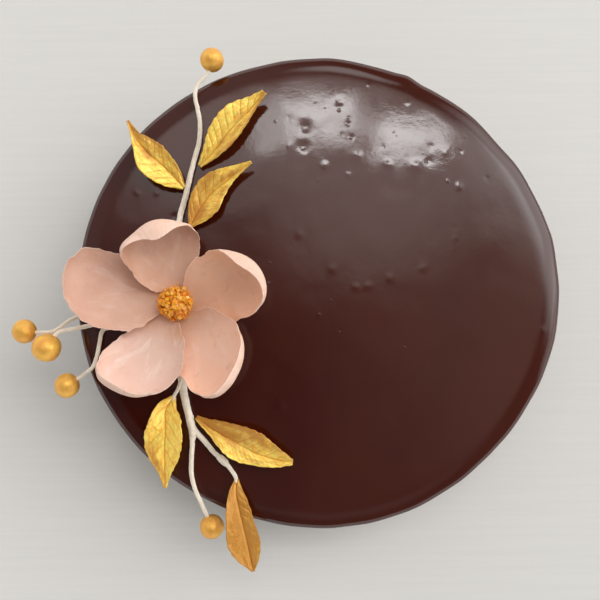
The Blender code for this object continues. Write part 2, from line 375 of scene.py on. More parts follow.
@dataclass(frozen=True)
class Board:
    """A node tree with short calls for what the finishes need."""
    tree: bpy.types.NodeTree

    def node(self, kind: str, inputs: dict | None = None, **settings) -> Node:
        """Add a node.

        Args:
            kind: Its type's name without the ShaderNode in front.
            inputs: Values or sockets for its inputs, by name or number.
            settings: Properties of the node.

        Returns:
            The new node.
        """
        made = self.tree.nodes.new(f"ShaderNode{kind}")
        for name, value in settings.items():
            setattr(made, name, value)
        for name, value in (inputs or {}).items():
            self.feed(made.inputs[name], value)
        return made

    def feed(self, target: Socket, value: Feed) -> None:
        """Link a socket to the target, or set the target to a plain value.

        Args:
            target: The input to fill.
            value: The socket or plain value.
        """
        if isinstance(value, Socket):
            self.tree.links.new(value, target)
        else:
            target.default_value = value

    def math(self, operation: str, *values: Feed, clamp: bool = False) -> Socket:
        """Return the result of one sum on numbers or sockets."""
        made = self.node("Math", dict(enumerate(values)), operation=operation, use_clamp=clamp)
        return made.outputs[0]

    def times(self, first: Feed, second: Feed) -> Socket:
        """Return the product of two numbers or sockets."""
        return self.math("MULTIPLY", first, second)

    def mix(self, share: Feed, first: Feed, second: Feed) -> Socket:
        """Mix two colours.

        Args:
            share: The share of the second.
            first: A colour or a colour socket.
            second: The same.

        Returns:
            The mixed colour's socket.
        """
        colours = [value if isinstance(value, Socket) else (*value, 1.0)
                   for value in (first, second)]
        inputs = {0: share, 6: colours[0], 7: colours[1]}
        return self.node("Mix", inputs, data_type="RGBA").outputs[2]

    def spread(self, value: Feed, low: float, high: float, to_low: float = 0.0,
               to_high: float = 1.0) -> Socket:
        """Map a value's range low to high smoothly onto to_low to to_high."""
        inputs = {0: value, 1: low, 2: high, 3: to_low, 4: to_high}
        return self.node("MapRange", inputs, interpolation_type="SMOOTHSTEP").outputs[0]

    def noise(self, place: Socket, scale: Feed, detail: float = 3.0, rough: float = 0.5,
              bend: float = 0.0) -> Socket:
        """Return a cloudy value from 0 to 1.

        Args:
            place: The socket that holds the place.
            scale: Clouds per unit of the place.
            detail: Octaves.
            rough: How strong the fine octaves are.
            bend: How far the clouds are bent.

        Returns:
            The value's socket.
        """
        inputs = {"Vector": place, "Scale": scale, "Detail": detail, "Roughness": rough,
                  "Distortion": bend}
        return self.node("TexNoise", inputs).outputs["Fac"]

    def stretched(self, place: Socket, scale: Numbers) -> Socket:
        """Return a place stretched by its own scale along each axis."""
        return self.node("Mapping", {"Vector": place, "Scale": scale}).outputs[0]


def effect_group(name: str, values: Sequence[str],
                 outputs: Sequence[str]) -> tuple[Board, Node, Node]:
    """Start a node group that several finishes share.

    Args:
        name: The group's name.
        values: Names of its plain inputs, which follow the place.
        outputs: Names of its plain outputs.

    Returns:
        The group's board, its input node and its output node.
    """
    tree = bpy.data.node_groups.new(name, "ShaderNodeTree")
    tree.interface.new_socket("Place", in_out="INPUT", socket_type="NodeSocketVector")
    for side, labels in (("INPUT", values), ("OUTPUT", outputs)):
        for label in labels:
            tree.interface.new_socket(label, in_out=side, socket_type="NodeSocketFloat")
    return Board(tree), tree.nodes.new("NodeGroupInput"), tree.nodes.new("NodeGroupOutput")


def make_grain() -> bpy.types.NodeTree:
    """Build the grain effect: a fine height and a broad cloudy mask.

    Returns:
        The group, with Place, Fine and Broad as inputs.
    """
    board, given, result = effect_group("surface_grain", ("Fine", "Broad"), ("Height", "Clouds"))
    place = given.outputs["Place"]
    fine = board.noise(place, given.outputs["Fine"], 2.0, 0.6)
    middle = board.noise(place, board.times(given.outputs["Fine"], 0.3), 2.0, 0.5)
    board.feed(result.inputs["Height"], board.math("ADD", board.times(fine, 0.5), middle))
    clouds = board.noise(place, given.outputs["Broad"], 4.0, 0.55, 0.4)
    board.feed(result.inputs["Clouds"], board.spread(clouds, 0.3, 0.7))
    return board.tree


def make_specks() -> bpy.types.NodeTree:
    """Build the speck effect: scattered small round dots.

    Returns:
        The group, with Place, Scale and Size as inputs.
    """
    board, given, result = effect_group("round_specks", ("Scale", "Size"), ("Mask",))
    inputs = {"Vector": given.outputs["Place"], "Scale": given.outputs["Scale"]}
    cells = board.node("TexVoronoi", inputs)
    away = board.math("DIVIDE", cells.outputs["Distance"], given.outputs["Size"])
    dots = board.math("SUBTRACT", 1.0, away, clamp=True)
    draw = board.node("SeparateColor", {0: cells.outputs["Color"]}).outputs[0]
    chosen = board.math("GREATER_THAN", draw, 0.72)
    board.feed(result.inputs["Mask"], board.times(dots, chosen))
    return board.tree


GRAIN = make_grain()
SPECKS = make_specks()


@dataclass(frozen=True)
class Finish:
    """What every finish has: its name and its shared surface effects.

    grain_sizes are the fine and the broad grain per metre, clouded is the share
    of colour that the broad clouds carry, relief is the depth of the fine relief
    in millimetres at height 1, and rough is the roughness from low to high. A
    field for clouds holds their scale, octaves, fineness and bend.
    """
    name: str
    grain_sizes: Numbers = (2600.0, 260.0)
    clouded: float = 0.35
    relief: float = 0.09
    rough: Numbers = (0.3, 0.48)

    def start(self, **values: float) -> tuple[Material, Board, Node]:
        """Make the material.

        Args:
            values: Plain values of the shader's sockets, with _ for a blank.

        Returns:
            The material, its board and its shader.
        """
        material = bpy.data.materials.new(self.name)
        material.use_nodes = True
        shader = material.node_tree.nodes["Principled BSDF"]
        for label, value in values.items():
            shader.inputs[label.replace("_", " ")].default_value = value
        return material, Board(material.node_tree), shader

    def grain(self, board: Board, place: Socket) -> tuple[Socket, Socket]:
        """Add the shared grain effect and return its height and its clouds."""
        inputs = dict(zip(("Place", "Fine", "Broad"), (place, *self.grain_sizes)))
        return tuple(board.node("Group", inputs, node_tree=GRAIN).outputs)

    def specks(self, board: Board, place: Socket, scale: float, size: float) -> Socket:
        """Add the shared speck effect and return its mask."""
        inputs = {"Place": place, "Scale": scale, "Size": size}
        return board.node("Group", inputs, node_tree=SPECKS).outputs["Mask"]

    def coat(self, board: Board, shader: Node, colour: Feed, rough: Feed,
             height: Feed) -> None:
        """Give the shader what each finish varies.

        Args:
            board: The material's board.
            shader: Its shader.
            colour: The base colour.
            rough: The roughness.
            height: The height of its fine relief.
        """
        bump = board.node("Bump", {"Height": height, "Distance": self.relief * MM,
                                   "Strength": 1.0})
        inputs = {"Base Color": colour, "Roughness": rough, "Normal": bump.outputs[0]}
        for label, value in inputs.items():
            board.feed(shader.inputs[label], value)


@dataclass(frozen=True)
class GlazeFinish(Finish):
    """Poured chocolate glaze: dark red-brown, glossy, with pinhead bubbles."""
    deep: Colour = (0.038, 0.0036, 0.0012)
    light: Colour = (0.049, 0.0074, 0.0030)
    side_gloss: float = 0.2
    top_gloss: float = 0.5
    grain_sizes: Numbers = (1400.0, 38.0)
    clouded: float = 0.25
    rough: Numbers = (0.06, 0.12)
    blots: Numbers = (9.0, 3.0, 0.5, 0.3)
    smears: Numbers = (60.0, 3.0, 0.6, 1.0)
    bubbles: Numbers = (95.0, 0.055)
    fine_share: float = 0.15

    def build(self) -> Material:
        """Make the finished material.

        Returns:
            The material.
        """
        material, board, shader = self.start(IOR=1.5)
        where = board.node("TexCoord")
        place = where.outputs["Object"]
        fine, clouds = self.grain(board, place)
        blots = board.noise(place, *self.blots)
        colour = board.mix(board.spread(blots, 0.35, 0.65), self.deep, self.light)
        colour = board.mix(board.times(clouds, self.clouded), colour, self.light)
        smear = board.spread(board.noise(place, *self.smears), 0.3, 0.75, *self.rough)
        steep = board.node("SeparateXYZ", {0: where.outputs["Normal"]}).outputs[2]
        gloss = board.spread(steep, 0.15, 0.8, self.side_gloss, self.top_gloss)
        board.feed(shader.inputs["Specular IOR Level"], gloss)
        dots = self.specks(board, place, *self.bubbles)
        height = board.math("ADD", board.times(fine, self.fine_share), dots)
        self.coat(board, shader, colour, smear, height)
        return material


@dataclass(frozen=True)
class PetalFinish(Finish):
    """Matte sugar paste, dusted brown by the flower's centre and pale at its thin rim."""
    foot: Colour = (0.64, 0.36, 0.235)
    middle: Colour = (0.72, 0.44, 0.335)
    rim: Colour = (0.88, 0.68, 0.57)
    dust: Colour = (0.78, 0.40, 0.13)
    dust_middle: Numbers = (-67.0, -8.0, 11.0)
    brushed: Colour = (0.93, 0.82, 0.76)
    streak: float = 0.25
    grain_sizes: Numbers = (3200.0, 55.0)
    clouded: float = 0.22
    relief: float = 0.05
    rough: Numbers = (0.66, 0.8)
    blots: Numbers = (150.0, 4.0, 0.65, 0.8)
    blotted: float = 0.5
    strokes: Numbers = (3.0, 4.0, 0.6, 1.0)
    stroke_stretch: Numbers = (1.0, 2.6, 1.0)
    rim_band: Numbers = (0.965, 0.995)
    rim_share: float = 0.45
    dust_clouds: Numbers = (900.0, 3.0, 0.7)
    dust_drift: float = 4.0
    dust_band: Numbers = (8.5, 12.5)
    dust_share: float = 0.75

    def build(self) -> Material:
        """Make the finished material.

        Returns:
            The material.
        """
        material, board, shader = self.start(IOR=1.4, Specular_IOR_Level=0.3)
        where = board.node("TexCoord")
        place = where.outputs["Object"]
        disk = board.node("Mapping", {"Vector": where.outputs["UV"], "Location": (-1.0, -1.0, 0.0),
                                      "Scale": (2.0, 2.0, 1.0)}).outputs[0]
        share = board.node("VectorMath", {0: disk}, operation="LENGTH").outputs["Value"]
        fine, clouds = self.grain(board, place)
        ends = board.node("SeparateXYZ", {0: disk}).outputs
        near = board.spread(board.math("ADD", ends[0], board.times(clouds, 0.15)), -0.85, 0.0,
                            1.0, 0.0)
        colour = board.mix(near, self.middle, self.foot)
        colour = board.mix(board.times(clouds, self.clouded), colour, self.rim)
        blots = board.spread(board.noise(place, *self.blots), 0.5, 0.8, 0.0, self.blotted)
        colour = board.mix(blots, colour, self.foot)
        brushed = board.stretched(where.outputs["UV"], self.stroke_stretch)
        lines = board.noise(brushed, *self.strokes)
        streaks = board.times(board.spread(lines, 0.5, 0.74), self.streak)
        colour = board.mix(streaks, colour, self.brushed)
        edge = board.spread(share, *self.rim_band)
        colour = board.mix(board.times(edge, self.rim_share), colour, self.rim)
        colour = self.dusted(board, place, colour)
        rough = board.spread(lines, 0.3, 0.8, *self.rough)
        self.coat(board, shader, colour, rough, fine)
        return material

    def dusted(self, board: Board, place: Socket, colour: Socket) -> Socket:
        """Dust the paste with amber close to the flower's centre.

        Args:
            board: The material's board.
            place: The socket that holds the place.
            colour: The paste's colour so far.

        Returns:
            The dusted colour's socket.
        """
        inputs = {0: place, 1: spray_point(self.dust_middle)}
        away = board.node("VectorMath", inputs, operation="DISTANCE").outputs["Value"]
        cloud = board.noise(place, *self.dust_clouds)
        reach = board.math("ADD", away, board.times(cloud, self.dust_drift * MM))
        near, far = (edge * MM for edge in self.dust_band)
        share = board.spread(reach, near, far, self.dust_share, 0.0)
        return board.mix(share, colour, self.dust)


@dataclass(frozen=True)
class PollenFinish(Finish):
    """Amber sugar grains, each of its own tone, with a wet glint."""
    dark: Colour = (0.62, 0.19, 0.008)
    amber: Colour = (0.88, 0.36, 0.022)
    bright: Colour = (1.0, 0.60, 0.12)
    grain_sizes: Numbers = (2600.0, 600.0)
    relief: float = 0.06
    wet: float = 0.28

    def build(self) -> Material:
        """Make the finished material.

        Returns:
            The material.
        """
        material, board, shader = self.start(IOR=1.5, Subsurface_Weight=0.35,
                                             Subsurface_Scale=0.0015)
        place = board.node("TexCoord").outputs["Object"]
        tone = board.node("Attribute", attribute_name="tone").outputs["Fac"]
        fine, clouds = self.grain(board, place)
        body = board.mix(board.spread(tone, 0.0, 0.55), self.dark, self.amber)
        colour = board.mix(board.spread(tone, 0.6, 1.0), body, self.bright)
        colour = board.mix(board.times(clouds, self.clouded), colour, self.amber)
        self.coat(board, shader, colour, self.wet, fine)
        return material


@dataclass(frozen=True)
class LeafFinish(Finish):
    """Pearly gold lustre brushed over an embossed leaf, darker in its veins by painted shade and an
    orange-brown tint, and with painted shade on one half.
    """
    gold: Colour = (1.0, 0.50, 0.05)
    bright: Colour = (1.0, 0.83, 0.17)
    brown: Colour = (0.52, 0.215, 0.03)
    shade: Colour = (0.60, 0.21, 0.018)
    grain_sizes: Numbers = (2200.0, 260.0)
    clouded: float = 0.25
    brush_stretch: Numbers = (4.0, 6.0, 1.0)
    strokes: Numbers = (3.0, 5.0, 0.68, 1.2)
    brown_and_shade_share: float = 0.9
    vein_shade_share: float = 0.52
    wrinkles: Numbers = (700.0, 3.0, 0.6, 1.5)
    wrinkle_height: float = 1.2

    def build(self) -> Material:
        """Make the finished material.

        Returns:
            The material.
        """
        material, board, shader = self.start(Metallic=0.22, IOR=1.5)
        where = board.node("TexCoord")
        place = where.outputs["Object"]
        vein = board.node("Attribute", attribute_name="vein").outputs["Fac"]
        brown_and_shade = board.node("Attribute", attribute_name="brown_and_shade").outputs["Fac"]
        fine, clouds = self.grain(board, place)
        brushed = board.stretched(where.outputs["UV"], self.brush_stretch)
        strokes = board.noise(brushed, *self.strokes)
        colour = board.mix(board.spread(strokes, 0.36, 0.6), self.gold, self.bright)
        # brown_and_shade is the lustre's browning plus painted shade on one half of the leaf.
        brown_and_shade_mask = board.math("ADD", brown_and_shade, board.times(clouds, self.clouded))
        colour = board.mix(board.spread(brown_and_shade_mask, 0.15, 1.0, 0.0, self.brown_and_shade_share), colour, self.brown)
        # Painted shade in the pressed veins and midrib, mixed with their orange-brown tint.
        colour = board.mix(board.times(vein, self.vein_shade_share), colour, self.shade)
        wrinkles = board.noise(place, *self.wrinkles)
        height = board.math("ADD", fine, board.times(wrinkles, self.wrinkle_height))
        rough = board.spread(strokes, 0.25, 0.75, *self.rough)
        self.coat(board, shader, colour, rough, height)
        return material


@dataclass(frozen=True)
class BerryFinish(Finish):
    """Satin gold lustre on a sugar ball, a little worn to orange."""
    gold: Colour = (0.88, 0.51, 0.09)
    worn: Colour = (0.74, 0.29, 0.06)
    grain_sizes: Numbers = (2600.0, 170.0)
    clouded: float = 0.55
    relief: float = 0.12
    rough: Numbers = (0.33, 0.48)
    brush_stretch: Numbers = (1.0, 0.25, 1.0)
    strokes: Numbers = (900.0, 3.0, 0.65, 0.8)
    stroke_height: float = 1.5

    def build(self) -> Material:
        """Make the finished material.

        Returns:
            The material.
        """
        material, board, shader = self.start(Metallic=0.45, IOR=1.5)
        place = board.node("TexCoord").outputs["Object"]
        fine, clouds = self.grain(board, place)
        colour = board.mix(board.times(clouds, self.clouded), self.gold, self.worn)
        strokes = board.noise(board.stretched(place, self.brush_stretch), *self.strokes)
        colour = board.mix(board.spread(strokes, 0.55, 0.75, 0.0, 0.5), colour, self.worn)
        height = board.math("ADD", fine, board.times(strokes, self.stroke_height))
        rough = board.spread(strokes, 0.3, 0.7, *self.rough)
        self.coat(board, shader, colour, rough, height)
        return material


@dataclass(frozen=True)
class TapeFinish(Finish):
    """Cream paper tape, crinkled across, a little soiled in broad clouds."""
    paper: Colour = (0.90, 0.82, 0.69)
    fold: Colour = (0.66, 0.55, 0.42)
    crest: Colour = (0.86, 0.80, 0.70)
    grain_sizes: Numbers = (1800.0, 260.0)
    relief: float = 0.12
    rough: Numbers = (0.75, 0.9)
    crinkles: Numbers = (1100.0, 3.0, 0.7, 1.2)
    crest_share: float = 0.35

    def build(self) -> Material:
        """Make the finished material.

        Returns:
            The material.
        """
        material, board, shader = self.start(IOR=1.4, Specular_IOR_Level=0.35)
        place = board.node("TexCoord").outputs["Object"]
        fine, clouds = self.grain(board, place)
        crinkle = board.noise(place, *self.crinkles)
        colour = board.mix(board.times(clouds, self.clouded), self.paper, self.fold)
        crests = board.spread(crinkle, 0.55, 0.75, 0.0, self.crest_share)
        colour = board.mix(crests, colour, self.crest)
        height = board.math("ADD", fine, crinkle)
        self.coat(board, shader, colour, board.spread(crinkle, 0.3, 0.7, *self.rough), height)
        return material


# The cake

@dataclass(frozen=True)
class Mark:
    """A bubble, pit or bump in the glaze.

    x and y are its place, radius its size and rise its strength, which is below
    0 for a pit. depth turns the strength into a height, spread is the share of
    the radius that rises most, and uneven how crooked the outline is.
    """
    x: float
    y: float
    radius: float
    rise: float
    depth: float = 0.38
    spread: float = 0.75
    uneven: float = 0.16

    def height(self, x: float, y: float) -> float:
        """Measure the lift of the surface at a place, with an uneven outline.

        Args:
            x: Millimetres from the cake's axis.
            y: The same, towards the back.

        Returns:
            The lift in millimetres, below 0 in a pit.
        """
        way = Vector((x - self.x, y - self.y, 0.0)) / self.radius
        bend = 1 + self.uneven * soft_noise(way.x, way.y, self.x)
        return self.depth * self.rise * hump(math.hypot(way.x, way.y) * bend, self.spread)


GLAZE_MARKS = tuple(Mark(*values) for values in (
    (-5.2, 79.6, 3.9, -0.5), (-6.3, 69.9, 3.1, -0.45), (-13.9, 70.2, 1.5, 0.12),
    (-20.1, 82.5, 1.0, 0.1), (-13.4, 84.5, 1.5, -0.06), (-0.3, 92.0, 0.5, -0.1),
    (4.4, 89.5, 0.6, -0.1), (4.7, 86.4, 0.7, -0.1), (2.4, 82.9, 0.6, -0.1),
    (4.3, 77.9, 0.6, -0.1), (11.5, 91.9, 2.2, -0.2), (11.5, 87.9, 1.1, -0.15),
    (15.7, 84.3, 1.0, 0.1), (15.7, 81.0, 1.7, -0.25), (17.2, 74.3, 1.5, -0.3),
    (12.4, 75.5, 0.7, -0.12), (20.2, 65.2, 2.4, 0.2), (4.1, 60.1, 2.9, 0.28),
    (15.3, 55.5, 1.9, 0.16), (0.6, 52.9, 1.2, 0.06), (35.1, 60.4, 2.4, 0.24),
    (38.1, 77.1, 1.2, -0.08), (39.8, 74.1, 0.9, -0.06), (48.9, 59.5, 3.9, 0.36),
    (55.1, 62.0, 1.9, -0.2), (56.5, 69.5, 1.9, -0.1), (63.8, 65.9, 1.7, 0.12),
    (70.6, 66.6, 1.7, -0.18), (73.4, 74.4, 1.2, -0.1), (64.3, 52.0, 1.0, 0.2),
    (69.7, 49.2, 2.4, 0.3), (26.3, 100.7, 1.5, 0.12), (45.5, 91.7, 1.9, 0.1),
    (32.8, 69.3, 1.5, -0.06), (83.7, 53.3, 1.5, -0.14), (67.3, 28.6, 1.9, -0.05),
    (67.2, 23.7, 1.9, 0.1), (51.2, 9.1, 2.9, 0.2), (35.2, 4.1, 2.9, 0.2),
    (18.4, 0.1, 2.4, 0.18), (24.3, 0.5, 2.4, 0.18), (6.9, 9.0, 2.9, 0.16),
    (-8.8, 26.3, 2.9, 0.14), (108.4, -21.6, 2.9, 0.3), (107.7, -40.5, 1.7, 0.16),
    (-24.1, 2.4, 0.6, 0.2), (-23.5, 12.3, 0.5, 0.1), (-25.2, -15.3, 0.6, 0.1),
    (6.1, -6.3, 0.5, 0.08), (6.4, -9.1, 0.5, 0.08), (0.4, -13.4, 1.2, 0.14),
    (10.5, -20.9, 0.7, -0.15), (2.7, -33.7, 0.5, 0.08), (17.5, -50.1, 0.6, 0.1),
    (-18.7, -57.4, 3.4, 0.22), (37.5, -16.8, 0.5, 0.08), (33.3, -65.1, 2.4, 0.1),
    (-18.8, -110.1, 1.5, 0.12), (-88.0, 47.1, 1.9, 0.14), (-78.3, 47.0, 1.9, 0.14),
    (-69.7, 35.4, 1.9, -0.25), (-54.4, -56.1, 0.5, 0.12), (-55.3, -83.5, 0.5, 0.12),
))


@dataclass
class Cake:
    """The cake under its poured glaze: flat top, sloping rim, tight edge, nearly upright side."""
    radius: float = 117.2
    height: float = CAKE_TOP
    shoulder_reach: float = 14.0
    edge_round: float = 3.8
    edge_lean: float = 20.0
    side_line: tuple[Numbers, ...] = ((0.5, 23.0), (0.0, 6.0), (1.2, 1.4), (0.8, 0.0))
    waves: tuple[Numbers, ...] = ((2, 1.4, -7.0), (3, 0.3, 0.0), (4, 0.35, 4.0), (5, 0.3, -2.0))
    bumps: tuple[Numbers, ...] = ((66.5, 2.2, 0.75), (62.5, 2.0, -0.35), (86, 5.0, 0.3),
                                  (38, 4.0, -0.3), (12, 3.0, 0.3), (292, 4.0, 0.35),
                                  (318, 3.0, -0.3))
    steps: int = 320
    ring: float = 1.7
    shoulder_steps: int = 12
    edge_steps: int = 8
    inset: float = 0.12
    swell: float = 0.15
    ripples: tuple[Numbers, ...] = ((0.075, 38.0), (0.055, 14.0), (0.01, 5.0))
    side_steps: int = 24
    foot_steps: int = 6
    foot_calm: float = 4.0
    side_swell: float = 0.5
    side_bias: float = 0.6
    run_size: float = 17.0
    run_stretch: float = 0.35
    marks: tuple[Mark, ...] = GLAZE_MARKS
    mark_reach: float = 4.0
    small_mark: float = 1.4
    refined: tuple[Numbers, ...] = ((1.9, 1.2), (1.5, 0.0))
    top_depth: float = 2.0
    weld: float = 0.002
    finish: GlazeFinish = field(default_factory=lambda: GlazeFinish("glaze"))

    def profile(self) -> list[tuple[float, float]]:
        """Draw the outer line from the middle of the top to the middle of the foot.

        Returns:
            Distances from the axis with their heights, in millimetres.
        """
        flat = self.radius - self.shoulder_reach
        rings = round(flat / self.ring)
        line = [(flat * step / rings, self.height) for step in range(rings)]
        lean = math.radians(self.edge_lean)
        reach = self.shoulder_reach - self.edge_round * (1 - math.sin(lean))
        drop = reach * math.tan(lean) / 3
        for step in range(self.shoulder_steps):
            share = step / self.shoulder_steps
            line.append((flat + reach * share, self.height - drop * share ** 3))
        for step in range(self.edge_steps + 1):
            angle = lean + (math.pi / 2 - lean) * step / self.edge_steps
            line.append((self.radius - self.edge_round * (1 - math.sin(angle)), self.height - drop
                         - self.edge_round * (math.cos(lean) - math.cos(angle))))
        knots = [Vector(line[-1])]
        knots += [Vector((self.radius + out, height)) for out, height in self.side_line]
        line += [tuple(line_value(knots, step / self.side_steps))
                 for step in range(1, self.side_steps + 1)]
        edge = self.radius + self.side_line[-1][0]
        line += [(edge * (1 - step / self.foot_steps), 0.0)
                 for step in range(1, self.foot_steps + 1)]
        return line

    def outline(self, angle: float) -> float:
        """Return how far the cake's outline stands out at an angle."""
        return sum(depth * math.cos(count * (angle - math.radians(crest)))
                   for count, depth, crest in self.waves)

    def poured(self, point: Vector) -> Vector:
        """Shift a point of the plain turned shape to where the glaze lies.

        Args:
            point: The point in millimetres.

        Returns:
            The point in millimetres, never outside the plain solid's box.
        """
        angle = math.atan2(point.y, point.x)
        out = math.hypot(point.x, point.y)
        share = 1 + (self.outline(angle) - self.inset) / self.radius
        moved = Vector((point.x * share, point.y * share, point.z))
        if point.z <= 0:
            return moved
        top = fade(out, self.radius, self.radius - self.shoulder_reach)
        rise = sum(depth * noise.noise(moved / size) for depth, size in self.ripples)
        rise += sum(mark.height(moved.x, moved.y) for mark in self.marks
                    if abs(moved.x - mark.x) + abs(moved.y - mark.y)
                    < self.mark_reach * mark.radius)
        moved.z += rise * top - self.swell
        side = (1 - top) * fade(point.z, 0.0, self.foot_calm)
        runs = Vector((moved.x, moved.y, moved.z * self.run_stretch)) / self.run_size
        pull = self.side_swell * (noise.noise(runs) - self.side_bias)
        for middle, half, rise in self.bumps:
            pull += rise * hump(turn_between(angle, middle), half)
        pull *= side
        moved.x += math.cos(angle) * pull
        moved.y += math.sin(angle) * pull
        return moved

    def refine(self, builder: BMesh) -> None:
        """Split the cells near each mark until they are small beside it.

        Args:
            builder: The turned shape, in millimetres.
        """
        for mark in self.marks:
            cuts = 2 if mark.radius < self.small_mark else 1
            for share, margin in self.refined:
                reach = share * mark.radius + margin
                near = [edge for edge in builder.edges
                        if edge.verts[0].co.z > self.height - self.top_depth
                        and all(math.hypot(v.co.x - mark.x, v.co.y - mark.y) < reach
                                for v in edge.verts)]
                if near:
                    bmesh.ops.subdivide_edges(builder, edges=near, cuts=cuts, use_grid_fill=True)

    def build(self, bench: Bench) -> bpy.types.Object:
        """Build the glazed cake.

        Args:
            bench: Where the pieces are made.

        Returns:
            Its piece.
        """
        builder = bmesh.new()
        corners = [builder.verts.new((out, 0.0, height)) for out, height in self.profile()]
        edges = [builder.edges.new(pair) for pair in zip(corners, corners[1:])]
        bmesh.ops.spin(builder, geom=corners + edges, cent=(0, 0, 0), axis=(0, 0, 1),
                       angle=math.tau, steps=self.steps, use_merge=True)
        bmesh.ops.remove_doubles(builder, verts=builder.verts, dist=self.weld)
        self.refine(builder)
        for vertex in builder.verts:
            vertex.co = self.poured(vertex.co) * MM
        return bench.place("cake_glaze", builder, self.finish.build(), Slot.GLAZE, ["cake"])


# The flower

@dataclass(frozen=True)
class Petal:
    """One petal: a cup that leans outwards and lies over the petal clockwise of it.

    azimuth is the way the tip points, in degrees. middle is the cup's middle
    from the flower's axis. reach holds the outline's distance from the middle
    every 30 degrees, and arc how far the cup's wall has turned at its rim every
    45 degrees. Both run anticlockwise from the tip. roll lifts the anticlockwise
    side. nicks are places in the rim: angle from the tip, half width and depth.
    """
    name: str
    azimuth: float
    middle: float
    roll: float
    reach: Numbers
    arc: Numbers
    nicks: tuple[Numbers, ...] = ()
    streak: float = 0.25
    # Painted light: tone is lighter or darker by how much light this petal gets.
    tone: Colour = (0.72, 0.44, 0.335)


# The last colour of each petal is its tone, with painted light: palest on the lower petals that
# face the light, darker on the shaded ones.
PETALS = (
    Petal("petal_left", 167, 27, 9,
          (25.5, 24, 21.5, 19.5, 19.5, 19.5, 22, 16.5, 14.5, 16.5, 20, 25),
          (100, 90, 78, 58, 42, 38, 42, 80),
          ((45, 5, 0.06), (62, 4, 0.05), (-28, 4, 0.035)), 0.2, (0.585, 0.35, 0.262)),
    Petal("petal_top", 104, 20.5, 10.5,
          (20, 19.5, 21, 16, 15, 14.5, 15.5, 13.5, 13.5, 17, 21, 19.5),
          (146, 116, 85, 60, 42, 38, 48, 102),
          ((63, 3, 0.06), (71, 2.5, 0.075), (79, 3, 0.05), (-52, 4, 0.05)), 0.15,
          (0.565, 0.328, 0.228)),
    Petal("petal_right", 8, 23, 9,
          (23, 24, 22.5, 22, 21.8, 20.6, 18.4, 16, 14, 14.5, 13.5, 18),
          (103, 122, 84, 60, 42, 38, 45, 85),
          ((-21, 5, 0.07), (83, 5, 0.03), (104, 4, 0.03)), 0.12, (0.83, 0.475, 0.305)),
    Petal("petal_lower_right", -62, 25.5, 9,
          (24.5, 24, 23.5, 22.5, 20.4, 20.2, 20.8, 16, 14.5, 15, 15, 20),
          (106, 106, 82, 58, 42, 38, 45, 85),
          ((55, 5, 0.035), (-22, 5, 0.04), (12, 4, 0.03)), 0.25, (0.91, 0.58, 0.43)),
    Petal("petal_lower_left", -121, 26, 9,
          (23, 23, 22.5, 20, 18, 18, 21, 16, 14.5, 15.5, 18, 23.5),
          (114, 92, 82, 58, 42, 38, 45, 98),
          ((-41, 2.5, 0.07), (-34, 2.5, 0.05), (-27, 3, 0.08), (40, 4, 0.035), (56, 3, 0.035)), 0.5,
          (0.76, 0.525, 0.435)),
)


